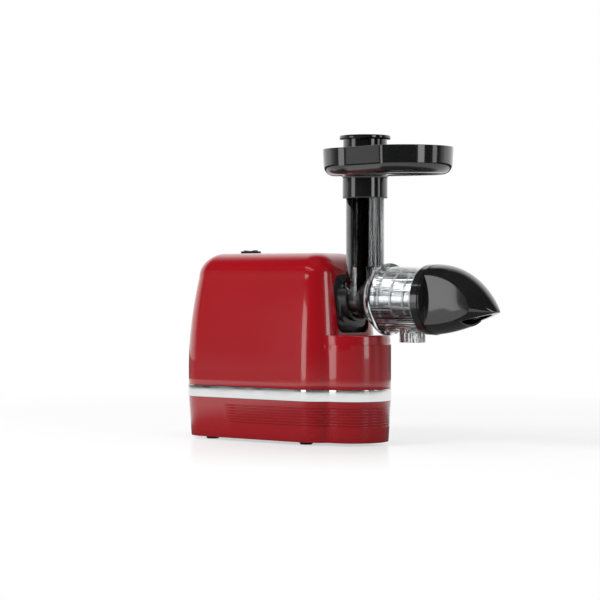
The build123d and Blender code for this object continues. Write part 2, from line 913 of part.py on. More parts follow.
def make_auger():
    shank_front = auger_rear + shank_length
    shank = turned_x([(auger_rear, 0), (auger_rear, shank_radius - shank_round / 4),
                      (auger_rear + shank_round, shank_radius), (shank_front, shank_radius),
                      (shank_front + shank_taper, auger_core_radius), (shank_front + shank_taper, 0)])
    press_rear = strainer_rear + press_lead
    feed = twisted(auger_core_radius, auger_feed_radius, shank_front + past, press_rear + past,
                   auger_feed_pitch, 1)
    inner_gap = strainer_frame_wall + press_gap
    front_radius = strainer_radius(auger_front) - inner_gap
    rear_radius = strainer_radius(press_rear) - inner_gap
    press = twisted(auger_press_core_rear, rear_radius, press_rear, auger_front, auger_press_pitch, 2, 90)
    press &= turned_x([(press_rear - past, 0), (press_rear - past, rear_radius), (auger_front, front_radius),
                       (auger_front, 0)])
    core = turned_x([(press_rear - core_lead, 0), (press_rear - core_lead, auger_core_radius),
                     (press_rear, auger_press_core_rear), (auger_front, auger_press_core_front),
                     (auger_front, 0)])
    auger = shank + feed + press + core
    auger += rod_x(pin_radius, auger_front - past, auger_front + pin_length)
    return auger - hex_bar(socket_across, auger_rear - past, auger_rear + hex_depth + socket_floor + seat_gap)


def hex_bar(across_flats, x_low, x_high):
    hexagon = RegularPolygon(across_flats / 2, 6, major_radius=False)
    return extrude(Plane.YZ.offset(x_low) * Pos(0, axis_height) * hexagon, x_high - x_low)


def make_auger_insert():
    insert = hex_bar(socket_across - 2 * running_gap, auger_rear, auger_rear + hex_depth + socket_floor)
    return insert - hex_bar(hex_across + 2 * seat_gap, auger_rear - past, auger_rear + hex_depth)


def make_output_shaft():
    shaft = rod_x(output_shaft_radius, output_shaft_rear, neck_wall_front)
    shaft += hex_bar(hex_across, neck_wall_front - past, output_shaft_front)
    return shaft - gear_key(stage_rear[2] - past, stage_rear[2] + stage_width[2] + past, 0)


def gear_key(x_low, x_high, grow):
    """A flat on the output shaft that drives the output gear."""
    low = axis_height + output_shaft_radius - key_depth - grow
    side = 2 * output_shaft_radius
    return block(x_low, x_high, -side, side, low, axis_height + side)


# ---- end cap ----
def cap_share(x):
    return min(max((x - cap_rear) / (tip_x - cap_rear), 0.0), 1.0)


def cap_top(x):
    fall = cap_share(x) ** cap_top_power
    return tip_height + (axis_height + cap_radius + cap_crown - tip_height) * (1 - fall)


def cap_bottom(x):
    low = axis_height - cap_radius
    return low + (tip_height - low) * cap_share(x) ** cap_bottom_power


def cap_half_width(x):
    narrowing = (1 - cap_share(x) ** cap_side_power) ** cap_side_fullness
    return cap_radius * narrowing + tip_half_width * cap_share(x)


def egg_round(half_width, bottom, widest, top):
    """A closed oval whose widest place lies at its own height."""
    points = []
    for i in range(cap_points):
        angle = 2 * pi * i / cap_points
        reach = top - widest if sin(angle) > 0 else widest - bottom
        points.append((half_width * cos(angle), widest + reach * sin(angle)))
    return make_face(Spline(points, periodic=True))


def cap_form(shrink, first, last):
    """The beak: round behind, its edges following smooth curves to the tip."""
    sections = []
    for i in range(cap_sections):
        share = 1 - (1 - i / (cap_sections - 1)) ** cap_section_crowding
        x = first + (last - first) * share
        middle = (cap_top(x) + cap_bottom(x)) / 2
        half_height = max((cap_top(x) - cap_bottom(x)) / 2 - shrink, tip_half_height)
        half_width = max(cap_half_width(x) - shrink, tip_half_height)
        widest = middle - half_height * cap_widest_drop * cap_share(x)
        outline = egg_round(half_width, middle - half_height, widest, middle + half_height)
        sections.append(Plane.YZ.offset(x) * outline)
    return loft(sections)


def flank_room(shrink):
    """The space beside the beak's flat flanks, which run inwards from the ring towards the tip."""
    rear = flank_offset - shrink
    front = rear - tan(radians(flank_angle)) * (tip_x - beak_rear)
    outer = 2 * cap_radius
    outline = Polyline([(beak_rear, rear), (tip_x, front), (tip_x, outer), (beak_rear, outer)], close=True)
    left = extrude(Plane.XY.offset(axis_height - outer) * make_face(outline), 2 * outer)
    return left + mirror(left, Plane.XZ)


def mouth_cut():
    """The space under a slanted plane that opens the beak's underside from the lower jaw to the tip."""
    slope = (tip_height - mouth_rear_height) / (tip_x - mouth_rear_x)
    front = tip_x + mouth_slant
    low = axis_height - 2 * cap_radius
    outline = [(mouth_rear_x, 0, mouth_rear_height),
               (front, 0, mouth_rear_height + slope * (front - mouth_rear_x)),
               (front, 0, low), (mouth_rear_x - mouth_slant, 0, low)]
    return extrude(make_face(Polyline(outline, close=True)), cap_radius, both=True)


def make_end_cap():
    bore = shell_front_radius + part_gap
    groove_radius = cap_radius - cap_groove_depth
    shoulder_radius = bore - cap_shoulder
    ring = turned_x([(cap_rear, bore), (cap_rear, cap_radius), (cap_ring_front, cap_radius),
                     (cap_ring_front, groove_radius), (beak_rear, groove_radius),
                     (beak_rear, shoulder_radius),
                     (cap_ring_front, shoulder_radius), (cap_ring_front, bore)])
    # The ring's front is closed beside the flanks by two segments of a disc.
    segments = rod_x(groove_radius - weld, beak_rear - cap_wall, beak_rear)
    half_gap = flank_offset - cap_wall
    segments -= block(cap_rear, tip_x, -half_gap, half_gap, 0, axis_height + 2 * cap_radius)
    beak = cap_form(0, beak_rear - past, tip_x - tip_blunt) - flank_room(0)
    hollow = cap_form(cap_wall, beak_rear - 2 * past, tip_x - cap_tip_wall) - flank_room(cap_wall)
    cap = ring + segments + (beak - hollow) - mouth_cut()
    lug_room = shell_front_radius + lug_reach + slide_gap
    cap -= tube_x(lug_room, bore - past, cap_lug_x - slide_gap, cap_lug_x + lug_length + slide_gap)
    for slot in bayonet_slots(lug_room, cap_rear - past, cap_lug_x + past, cap_lug_first - cap_twist,
                              cap_slot_room):
        cap -= slot - rod_x(bore - past, cap_rear - 2 * past, cap_lug_x + 2 * past)
    bush_rear = auger_front + pin_end_play
    bush_front = auger_front + pin_length + bush_cover
    cap += rod_x(pin_radius + bush_wall, bush_rear, bush_front)
    cap -= rod_x(pin_radius + running_gap, bush_rear - past, auger_front + pin_length + pin_end_play / 2)
    arm_zone = rod_x((shoulder_radius + groove_radius) / 2, cap_ring_front + pin_end_play / 2,
                     bush_front - past)
    arm_zone -= rod_x(pin_radius + bush_wall / 2, bush_rear - past, bush_front + past)
    arm_zone -= flank_room(cap_wall / 2)
    for i in range(lug_count):
        arm = block(cap_ring_front, bush_front, -arm_width / 2, arm_width / 2, axis_height,
                    axis_height + cap_radius)
        cap += arm.rotate(drum_axis, 360 / lug_count * (i + 0.5)) & arm_zone
    return cap


def make_cap_seal():
    x_low = drum_front + part_gap
    return tube_x(shell_front_radius - slide_gap, shell_front_radius - drum_wall + slide_gap, x_low,
                  cap_ring_front)


# ---- hopper and pusher ----
def hopper_outline(inset):
    wide = Pos(chute_axis_x + lobe_offset, 0) * Circle(lobe_radius - inset)
    narrow = Pos(chute_axis_x + narrow_offset, 0) * Circle(narrow_radius - inset)
    return make_hull(wide.edges() + narrow.edges())


def hopper_form(shrink, low, high):
    bottom = Plane.XY.offset(low) * hopper_outline(hopper_flare + shrink)
    top = Plane.XY.offset(high) * hopper_outline(shrink)
    form = loft([bottom, top], ruled=True)
    edges = form.faces().sort_by(Axis.Z)[0].edges()
    return fillet(edges, hopper_bottom_round - shrink)


def make_hopper_tray():
    tray = hopper_form(0, hopper_floor, hopper_rim)
    tray -= hopper_form(hopper_wall, hopper_floor + hopper_wall, hopper_rim + past)
    return tray - rod_z(chute_radius - chute_wall, chute_axis_x, 0, hopper_floor - past, hopper_rim)


def make_hopper_sleeve():
    return tube_z(sleeve_radius, chute_radius + part_gap, chute_axis_x, 0, sleeve_bottom, hopper_floor)


def make_pusher_stem():
    stem = rod_z(pusher_stem_radius, chute_axis_x, 0, pusher_foot, pusher_head_bottom)
    stem = fillet(stem.edges().sort_by(Axis.Z)[0], pusher_foot_round)
    return stem - rod_z(pusher_bore, chute_axis_x, 0, pusher_foot + pusher_wall, pusher_head_bottom + past)


def make_pusher_head():
    """The wide open cup on top of the stem, with a flange to lift it by."""
    head = rod_z(pusher_head_radius, chute_axis_x, 0, pusher_head_bottom, pusher_head_top)
    flange = rod_z(pusher_flange_radius, chute_axis_x, 0, pusher_head_top, pusher_top)
    head += fillet(flange.edges(), pusher_flange_round)
    head -= rod_z(pusher_bore, chute_axis_x, 0, pusher_head_bottom - past, pusher_top)
    cup_radius = pusher_head_radius - pusher_wall
    return head - rod_z(cup_radius, chute_axis_x, 0, pusher_head_bottom + pusher_wall, pusher_top + past)


# ---- switch ----
def switch_hole():
    half_length = switch_length / 2 - switch_lip
    half_width = switch_width / 2 - switch_lip
    return block(switch_x - half_length, switch_x + half_length, -half_width, half_width,
                 body_height - switch_depth, body_height + switch_proud)


def make_switch_bezel():
    top = body_height + switch_proud
    outline = RectangleRounded(switch_length, switch_width, switch_corner)
    rim = extrude(Plane.XY.offset(body_height) * Pos(switch_x, 0) * outline, switch_proud)
    rim = fillet(rim.faces().sort_by(Axis.Z)[-1].edges(), switch_edge_round)
    skirt_inset = switch_lip + seat_gap
    inner = RectangleRounded(switch_length - 2 * skirt_inset, switch_width - 2 * skirt_inset, switch_wall)
    skirt = extrude(Plane.XY.offset(body_height - switch_depth) * Pos(switch_x, 0) * inner, switch_depth)
    half_length = switch_length / 2 - skirt_inset - switch_wall
    half_width = switch_width / 2 - skirt_inset - switch_wall
    hollow = block(switch_x - half_length, switch_x + half_length, -half_width, half_width,
                   body_height - switch_depth + switch_block, top + past)
    pivot = Rot(90, 0, 0) * Cylinder(rocker_pin_radius + running_gap, switch_width - 2 * skirt_inset + past)
    return rim + skirt - hollow - Pos(switch_x, 0, rocker_axis_z) * pivot


def make_switch_rocker():
    half_length = switch_length / 2 - switch_lip - seat_gap - switch_wall - rocker_end_gap
    half_width = switch_width / 2 - switch_lip - seat_gap - switch_wall - slide_gap
    horn = (half_length, 0, body_height + switch_proud + rocker_rise)
    dip = (0, 0, horn[2] - rocker_dip)
    back = (-half_length, 0, horn[2])
    low = body_height - rocker_depth
    foot = half_length - rocker_taper
    face = make_face([ThreePointArc(back, dip, horn),
                      Polyline([horn, (foot, 0, low), (-foot, 0, low), back])])
    pin = Rot(90, 0, 0) * Cylinder(rocker_pin_radius, switch_width - 2 * (switch_lip + seat_gap + slide_gap))
    rocker = Pos(switch_x, 0, 0) * extrude(face, half_width, both=True)
    return rocker + Pos(switch_x, 0, rocker_axis_z) * pin


def make_switch_terminals():
    top = body_height - switch_depth
    places = [switch_x + i * terminal_pitch for i in (-1, 0, 1)]
    return [block(x - terminal_thickness / 2, x + terminal_thickness / 2, -terminal_width / 2,
                  terminal_width / 2,
                  top - terminal_length, top) for x in places]


# ---- gears ----
def involute_point(base, roll):
    return base * sqrt(1 + roll * roll), roll - atan2(roll, 1)


def gear_outline(teeth, module, thin):
    """A spur gear outline with involute flanks, thinned by thin for backlash, one tooth at angle 0."""
    pitch = teeth * module / 2
    base = pitch * cos(radians(pressure_angle))
    outer = pitch + module * tooth_addendum
    root = pitch - module * tooth_dedendum
    flare = tan(radians(pressure_angle)) - radians(pressure_angle)
    half_tooth = pi / (2 * teeth) - thin / (2 * pitch)
    start_roll = sqrt(max((max(root, base) / base) ** 2 - 1, 0))
    end_roll = sqrt((outer / base) ** 2 - 1)
    flank = []
    for j in range(flank_points):
        roll = start_roll + (end_roll - start_roll) * j / (flank_points - 1)
        radius, swing = involute_point(base, roll)
        flank.append((radius, half_tooth + flare - swing))
    if root < base:
        flank.insert(0, (root, flank[0][1]))
    points = []
    for k in range(teeth):
        middle = 2 * pi * k / teeth
        points += [(radius, middle - swing) for radius, swing in flank]
        points += [(radius, middle + swing) for radius, swing in reversed(flank)]
    return [(radius * cos(angle), radius * sin(angle)) for radius, angle in points]


def gear(teeth, module, x_low, width, place, tooth_angle):
    """A gear about an axis along X at place, with the middle of one tooth at tooth_angle from +Y to +Z."""
    y, z = place
    face = make_face(Polyline(gear_outline(teeth, module, gear_backlash), close=True))
    plane = Plane.YZ.offset(x_low) * Pos(y, z) * Rot(0, 0, tooth_angle)
    return extrude(plane * face, width)


def stage_distance(i):
    return stage_module[i] * (pinion_teeth[i] + wheel_teeth[i]) / 2


def away(place, direction, distance):
    """A point at distance from place, direction in degrees from straight down towards +Y."""
    y, z = place
    return y + distance * sin(radians(direction)), z - distance * cos(radians(direction))


def bearing_angle(start, end):
    return degrees(atan2(end[1] - start[1], end[0] - start[0]))


def wheel_room(i):
    """The radius that the gearbox leaves free round a stage's wheel."""
    return stage_module[i] * (wheel_teeth[i] / 2 + 1) + gearbox_gap


# The second gear stands as far out as the body's wall lets the gearbox reach.
second_side = body_width / 2 - wall - gearbox_side_room - gearbox_wall - wheel_room(1)
output_place = (0.0, axis_height)
second_place = (-second_side, axis_height - sqrt(stage_distance(2) ** 2 - second_side ** 2))
first_place = away(second_place, first_gear_direction, stage_distance(1))
# The motor lies in the middle plane, above the first wheel.
motor_place = (0.0, first_place[1] + sqrt(stage_distance(0) ** 2 - first_place[0] ** 2))
motor_axis_z = motor_place[1]
places = [motor_place, first_place, second_place, output_place]


def pinion(i):
    towards = bearing_angle(places[i], places[i + 1])
    step = 360 / pinion_teeth[i]
    return gear(pinion_teeth[i], stage_module[i], stage_rear[i] - pinion_lap, stage_width[i] + 2 * pinion_lap,
                places[i], towards + step / 2)


def wheel(i):
    towards = bearing_angle(places[i + 1], places[i])
    return gear(wheel_teeth[i], stage_module[i], stage_rear[i], stage_width[i], places[i + 1], towards)


def compound_gear(i):
    """A wheel of stage i with the next stage's pinion in front, on one hub that runs on a fixed pin."""
    y, z = places[i + 1]
    hub = gear_pin_radius + gear_hub_wall
    rim = wheel_teeth[i] * stage_module[i] / 2 * gear_rim_share
    low, high = stage_rear[i], stage_rear[i] + stage_width[i]
    form = wheel(i)
    form -= tube_x(rim, hub + gear_hub_step, low - past, low + gear_dish, y, z)
    form -= tube_x(rim, hub + gear_hub_step, high - gear_dish, high + past, y, z)
    form += rod_x(hub, low - hub_proud, stage_rear[i + 1], y, z) + pinion(i + 1)
    return form - rod_x(gear_pin_radius + running_gap, gearbox_rear, gearbox_front, y, z)


def make_output_gear():
    form = wheel(2)
    rim = wheel_teeth[2] * stage_module[2] / 2 * gear_rim_share
    hub = output_shaft_radius + output_hub_wall
    low, high = stage_rear[2], stage_rear[2] + stage_width[2]
    form -= tube_x(rim, hub, low - past, low + output_dish)
    form -= tube_x(rim, hub, high - output_dish, high + past)
    for i in range(output_hole_count):
        hole = rod_x(output_hole_radius, low - past, high + past, 0, axis_height + (rim + hub) / 2)
        form -= hole.rotate(drum_axis, 360 / output_hole_count * (i + 0.5))
    bore = rod_x(output_shaft_radius + running_gap, low - past, high + past)
    return form - (bore - gear_key(low - past, high + past, -running_gap))


def gearbox_plan(grow):
    """The gearbox outline in the YZ plane: round lobes about each axis, joined."""
    lobes = [Pos(*places[i + 1]) * Circle(wheel_room(i) + grow) for i in range(3)]
    lobes.append(Pos(*motor_place) * Circle(motor_lobe_radius + grow))
    edges = []
    for lobe in lobes:
        edges += lobe.edges()
    return make_hull(edges)


def make_gearbox_case():
    outer = extrude(Plane.YZ.offset(gearbox_rear) * gearbox_plan(gearbox_wall), gearbox_front - gearbox_rear)
    inner_rear = gearbox_rear + cover_plate
    case = outer - extrude(Plane.YZ.offset(inner_rear) * gearbox_plan(0), gearbox_front)
    case -= rod_x(motor_bearing_outer + case_motor_gap, gearbox_rear - past, inner_rear + past, *motor_place)
    pin_seats = ((first_place, stage_rear[0]), (second_place, stage_rear[1]))
    for (y, z), gear_rear in pin_seats:
        case += rod_x(gear_pin_radius + pin_boss_wall, gearbox_rear + past, gear_rear - pin_boss_gap, y, z)
        case -= rod_x(gear_pin_radius + bearing_fit, pin_rear, gearbox_front, y, z)
    y, z = output_place
    seat_front = output_shaft_rear + bearing_width
    case += rod_x(bearing_outer + bearing_wall, gearbox_rear + past, seat_front, y, z)
    case -= rod_x(bearing_outer + bearing_fit, output_shaft_rear, seat_front + past, y, z)
    return case - rod_x(output_shaft_radius + slide_gap, output_shaft_rear - shaft_end_room, gearbox_front,
                        y, z)


def make_gearbox_cover():
    plate = extrude(Plane.YZ.offset(gearbox_front) * gearbox_plan(gearbox_wall), cover_plate)
    for y, z in (first_place, second_place):
        plate += rod_x(gear_pin_radius + pin_boss_wall, gearbox_front - cover_pin_boss,
                       gearbox_front + past, y, z)
        plate -= rod_x(gear_pin_radius + bearing_fit, gearbox_front - cover_pin_boss - past,
                       pin_front + past, y, z)
    boss_front = collar_rear + cover_boss
    plate += rod_x(bearing_outer + bearing_wall, cover_bearing_rear - past, boss_front)
    plate -= rod_x(bearing_outer + bearing_fit, cover_bearing_rear, cover_bearing_rear + bearing_width)
    plate -= rod_x(output_shaft_radius + shaft_seal_wall, stage_rear[2], boss_front + past)
    for y, z in collar_screw_places():
        plate += rod_x(screw_head_radius + screw_tab_wall, gearbox_front, gearbox_front + cover_plate, y, z)
        plate -= rod_x(collar_screw_radius + seat_gap, gearbox_front - past,
                       gearbox_front + cover_plate + past, y, z)
    return plate


def make_bearing(inner, outer, x_low, width, place):
    """A ball bearing: two races, a ring of balls and no cage."""
    y, z = place
    bore = inner + bearing_fit
    race = (outer - bore) * race_share
    middle = (outer + bore) / 2
    races = [tube_x(bore + race, bore, x_low, x_low + width, y, z),
             tube_x(outer, outer - race, x_low, x_low + width, y, z)]
    ball = (outer - bore) / 2 - race - bearing_fit
    angles = [2 * pi * i / ball_count for i in range(ball_count)]
    balls = [Pos(x_low + width / 2, y + middle * cos(a), z + middle * sin(a)) * Sphere(ball) for a in angles]
    return races + balls


def make_gear_pins():
    return [rod_x(gear_pin_radius, pin_rear, pin_front, y, z) for y, z in (first_place, second_place)]


def make_shaft_seal():
    low = cover_bearing_rear + bearing_width + bearing_fit
    outer = output_shaft_radius + shaft_seal_wall - bearing_fit
    return tube_x(outer, output_shaft_radius + running_gap, low, collar_rear + cover_boss)


def make_collar_screws():
    turned = Rot(0, -90, 0) * screw(collar_screw_radius, collar_screw_head, collar_screw_head_height,
                                    collar_screw_length)
    return [Pos(gearbox_front, y, z) * turned for y, z in collar_screw_places()]


# ---- motor ----
def stator_plan():
    return Pos(*motor_place) * RectangleRounded(2 * stator_half, 2 * stator_half, stator_corner)


def tie_places():
    y, z = motor_place
    return [(y + side, z + up) for side in (-tie_offset, tie_offset) for up in (-tie_offset, tie_offset)]


def motor_sides(inner, outer):
    """The span from inner to outer beside the motor's axis, on each side."""
    y = motor_place[0]
    return [(y - outer, y - inner), (y + inner, y + outer)]


def make_stator_core():
    z = motor_place[1]
    core = extrude(Plane.YZ.offset(stator_rear) * stator_plan(), stator_length)
    core -= rod_x(stator_bore, stator_rear - past, stator_front + past, *motor_place)
    for low, high in motor_sides(stator_bore - pole_reach, stator_half - yoke_width):
        core -= block(stator_rear - past, stator_front + past, low, high, z - pocket_half, z + pocket_half)
    for y, z in tie_places():
        core -= rod_x(tie_radius + seat_gap, stator_rear - past, stator_front + past, y, z)
    return core


def make_field_windings():
    z = motor_place[1]
    half = pocket_half - coil_gap
    coils = []
    for low, high in motor_sides(stator_bore + coil_gap, stator_half - yoke_width - coil_gap):
        run = block(stator_rear - coil_overhang, stator_front + coil_overhang, low, high, z - half, z + half)
        coils.append(fillet(run.edges().filter_by(Axis.X), coil_round))
    return coils


def make_motor_bracket(x_low, x_high, arm_low, arm_high):
    """An end bracket: a plate with two windows and four arms that reach the stator."""
    z = motor_place[1]
    plate = extrude(Plane.YZ.offset(x_low) * stator_plan(), x_high - x_low)
    for low, high in motor_sides(bracket_hub, stator_half - bracket_rim):
        plate -= block(x_low - past, x_high + past, low, high, z - bracket_window, z + bracket_window)
    for ty, tz in tie_places():
        plate += rod_x(tie_radius + tie_wall, arm_low, arm_high, ty, tz)
        plate -= rod_x(tie_radius + seat_gap, arm_low - past, arm_high + past, ty, tz)
    return plate


def bearing_cup(form, low, high, seat_low, seat_high):
    """Adds a cup from low to high for a motor bearing and clears its seat and the shaft's way."""
    form += rod_x(motor_bearing_outer + motor_cup_wall, low, high, *motor_place)
    form -= rod_x(motor_bearing_outer + bearing_fit, seat_low, seat_high, *motor_place)
    return form - rod_x(motor_shaft_radius + shaft_way, low - past, high + past, *motor_place)


def make_front_bracket():
    low, high = motor_front - bracket_thickness, motor_front
    form = make_motor_bracket(low, high, stator_front, high)
    seat = high - motor_bearing_width
    return bearing_cup(form, seat - motor_cup_floor, high, seat, high + past)


def make_rear_bracket():
    low, high = motor_rear, motor_rear + bracket_thickness
    form = make_motor_bracket(low, high, low, stator_rear)
    seat = low + motor_bearing_width
    return bearing_cup(form, low, seat + motor_cup_floor, low - past, seat)


def make_tie_bolts():
    bolt = screw(tie_radius, tie_head_radius, tie_head_height, motor_front - motor_rear - slide_gap)
    turned = Rot(0, -90, 0) * bolt
    return [Pos(motor_rear, y, z) * turned for y, z in tie_places()]


def make_motor_shaft():
    step = stage_rear[0] - past
    body = rod_x(motor_shaft_radius, fan_front - fan_width - shaft_tail, step, *motor_place)
    return body + rod_x(shaft_nose_radius, step - past, pinion_front, *motor_place)


def make_motor_pinion():
    bore = rod_x(shaft_nose_radius, stage_rear[0] - pinion_lap - past, pinion_front + past, *motor_place)
    return pinion(0) - bore


def make_armature_core():
    y, z = motor_place
    radius = stator_bore - air_gap
    core = tube_x(radius, motor_shaft_radius, stator_rear, stator_front, y, z)
    middle = radius - slot_radius - slot_depth
    for i in range(armature_slots):
        angle = 2 * pi * i / armature_slots
        core -= rod_x(slot_radius, stator_rear - past, stator_front + past, y + middle * cos(angle),
                      z + middle * sin(angle))
    return core


def make_armature_windings():
    return [turned_ring(stator_rear - winding_length, stator_rear),
            turned_ring(stator_front, stator_front + winding_length)]


def turned_ring(x_low, x_high):
    ring = tube_x(stator_bore - winding_gap, motor_shaft_radius + past, x_low, x_high, *motor_place)
    return fillet(ring.edges().filter_by(GeomType.CIRCLE).sort_by(SortBy.RADIUS)[-2:], winding_round)


def make_commutator():
    y, z = motor_place
    form = tube_x(commutator_radius, motor_shaft_radius, commutator_rear,
                  commutator_rear + commutator_length, y, z)
    slit = block(commutator_rear - past, commutator_rear + commutator_length - commutator_lip,
                 -slit_width / 2,
                 slit_width / 2, commutator_radius - slit_depth, commutator_radius + past)
    for i in range(commutator_bars):
        form -= Pos(0, y, z) * (Rot(360 / commutator_bars * i, 0, 0) * slit)
    return form


def brush_boxes(grow, length):
    """A box on each side of the commutator, as long as given and grow larger than a brush all round."""
    y, z = motor_place
    low = commutator_rear + brush_lead
    half = brush_thickness / 2 + grow
    boxes = []
    for side in (-1, 1):
        inner = commutator_radius + running_gap
        z_low, z_high = sorted((z + side * inner, z + side * (inner + length)))
        boxes.append(block(low - grow, low + brush_width + grow, y - half, y + half, z_low, z_high))
    return boxes


def make_carbon_brushes():
    return brush_boxes(0, brush_length)


def make_brush_holders():
    holders = []
    y, z = motor_place
    outer = brush_boxes(holder_wall, brush_length + holder_reach)
    inner = brush_boxes(holder_gap, brush_length + holder_reach / 2)
    clear = rod_x(commutator_radius + holder_wall, commutator_rear - past, stator_rear, y, z)
    for side, sleeve, cavity in zip((-1, 1), outer, inner):
        arm_low = commutator_radius + holder_arm_lift
        foot_z = sorted((z + side * arm_low, z + side * (arm_low + bracket_thickness)))
        half = brush_thickness / 2 + holder_wall
        foot = block(motor_rear + bracket_thickness, commutator_rear + brush_lead + brush_width, y - half,
                     y + half,
                     *foot_z)
        holders.append(sleeve + foot - cavity - clear)
    return holders


def make_cooling_fan():
    y, z = motor_place
    x_low, x_high = fan_front - fan_width, fan_front
    fan = tube_x(fan_hub_radius, motor_shaft_radius, x_low, x_high, y, z)
    fan += tube_x(fan_radius, motor_shaft_radius, x_high - fan_disc, x_high, y, z)
    blade = block(x_low, x_high - fan_disc / 2, -fan_blade / 2, fan_blade / 2, fan_hub_radius - fan_disc / 2,
                  fan_radius)
    for i in range(fan_blades):
        fan += Pos(0, y, z) * (Rot(360 / fan_blades * i, 0, 0) * blade)
    return fan


# ---- motor cradle, board and inlet ----
def cradle_sides():
    return (-stator_half + cradle_side_inset, stator_half - cradle_side_inset)


def cradle_places():
    return (stator_rear + cradle_end_inset, stator_front - cradle_end_inset)


def cradle_low():
    """The height on which the cradle's soft bushes stand."""
    return motor_axis_z - stator_half - cradle_drop


def make_motor_cradle():
    floor = cradle_low() + bush_height
    seat = motor_axis_z - stator_half - part_gap
    inner = stator_half + part_gap
    outer = inner + cradle_plate
    x_low, x_high = stator_rear + cradle_plate, stator_front - cradle_plate
    cradle = block(x_low, x_high, -outer, outer, floor, floor + cradle_plate)
    for side in (-1, 1):
        wall_low, wall_high = sorted((side * inner, side * outer))
        cradle += block(x_low, x_high, wall_low, wall_high, floor, motor_axis_z - cradle_side_drop)
        rib_y = side * cradle_rib_offset
        cradle += block(x_low, x_high, rib_y - cradle_rib / 2, rib_y + cradle_rib / 2, floor + past, seat)
    return cradle


def make_cradle_bushes():
    low = cradle_low()
    return [rod_z(bush_radius, x, y, low, low + bush_height) for y in cradle_sides() for x in cradle_places()]


def make_control_board():
    return block(board_x, board_face, -board_half_width, board_half_width, board_z - board_half_height,
                 board_z + board_half_height)


def make_board_parts():
    """Round cans and square blocks on the face of the board."""
    parts = [rod_x(radius, board_face, board_face + reach, y, board_z + up) for radius, reach, y,
             up in board_cans]
    for reach, left, right, low, high in board_blocks:
        parts.append(block(board_face, board_face + reach, left, right, board_z + low, board_z + high))
    return parts


def make_board_standoffs():
    posts = []
    for y in (-standoff_side, standoff_side):
        for z in (board_z - standoff_rise, board_z + standoff_rise):
            wall_x = -body_length / 2 + wall + lean_at(z + standoff_radius) + part_gap
            posts.append(rod_x(standoff_radius, wall_x, board_x, y, z))
    return posts


def inlet_rear():
    """The inlet's flange stands clear of the leaning rear wall."""
    return -body_length / 2 + base_inset(inlet_height) - inlet_lean_room - inlet_flange


def middle_x():
    """The middle of the whole juicer's length, from the cord inlet to the beak's tip."""
    return (inlet_rear() + tip_x - tip_blunt) / 2


def make_cord_inlet():
    """A soft grommet: a neck through the rear wall between a flange outside and a clip inside."""
    rear = inlet_rear()
    front = rear + inlet_flange
    clip_rear = front + wall + 2 * inlet_lean_room
    inlet = rod_x(inlet_neck_radius, rear, front + inlet_depth, 0, inlet_height)
    inlet += rod_x(inlet_radius, rear, front, 0, inlet_height)
    inlet += rod_x(inlet_radius, clip_rear, clip_rear + inlet_clip, 0, inlet_height)
    return inlet - rod_x(inlet_bore, rear - past, front + inlet_depth + past, 0, inlet_height)


def main():
    os.makedirs("parts", exist_ok=True)
    write("upper_housing", make_upper_housing())
    write("trim_band", make_trim_band())
    write("base_housing", make_base_housing())
    write("bottom_cover", make_bottom_cover())
    write("rubber_feet", make_rubber_feet())
    write("base_screws", make_base_screws())
    write("front_collar", make_front_collar())
    write("collar_screws", make_collar_screws())
    write("cord_inlet", make_cord_inlet())
    write("switch_bezel", make_switch_bezel())
    write("switch_rocker", make_switch_rocker())
    write("switch_terminals", make_switch_terminals())
    write("control_board", make_control_board())
    write("board_components", make_board_parts())
    write("board_standoffs", make_board_standoffs())
    write("motor_cradle", make_motor_cradle())
    write("cradle_bushes", make_cradle_bushes())
    write("stator_core", make_stator_core())
    write("field_windings", make_field_windings())
    write("front_motor_bracket", make_front_bracket())
    write("rear_motor_bracket", make_rear_bracket())
    write("motor_tie_bolts", make_tie_bolts())
    write("carbon_brushes", make_carbon_brushes())
    write("brush_holders", make_brush_holders())
    write("front_motor_bearing", make_bearing(motor_shaft_radius, motor_bearing_outer,
          motor_front - motor_bearing_width, motor_bearing_width, motor_place))
    write("rear_motor_bearing", make_bearing(motor_shaft_radius, motor_bearing_outer,
          motor_rear, motor_bearing_width, motor_place))
    write("motor_shaft", make_motor_shaft())
    write("armature_core", make_armature_core())
    write("armature_windings", make_armature_windings())
    write("commutator", make_commutator())
    write("cooling_fan", make_cooling_fan())
    write("motor_pinion", make_motor_pinion())
    write("first_gear", compound_gear(0))
    write("second_gear", compound_gear(1))
    write("output_gear", make_output_gear())
    write("gear_pins", make_gear_pins())
    write("gearbox_case", make_gearbox_case())
    write("gearbox_cover", make_gearbox_cover())
    write("rear_output_bearing", make_bearing(output_shaft_radius, bearing_outer, output_shaft_rear,
          bearing_width, output_place))
    write("front_output_bearing", make_bearing(output_shaft_radius, bearing_outer, cover_bearing_rear,
          bearing_width, output_place))
    write("shaft_seal", make_shaft_seal())
    write("output_shaft", make_output_shaft())
    write("auger", make_auger())
    write("auger_socket", make_auger_insert())
    write("drum", make_drum())
    write("feed_chute", make_feed_chute())
    write("juice_spout", make_juice_spout())
    write("drum_seal", make_drum_seal())
    write("strainer_frame", make_strainer_frame())
    write("strainer_screen", make_strainer_screen())
    write("end_cap", make_end_cap())
    write("cap_seal", make_cap_seal())
    write("hopper_tray", make_hopper_tray())
    write("hopper_sleeve", make_hopper_sleeve())
    write("pusher_stem", make_pusher_stem())
    write("pusher_head", make_pusher_head())


main()
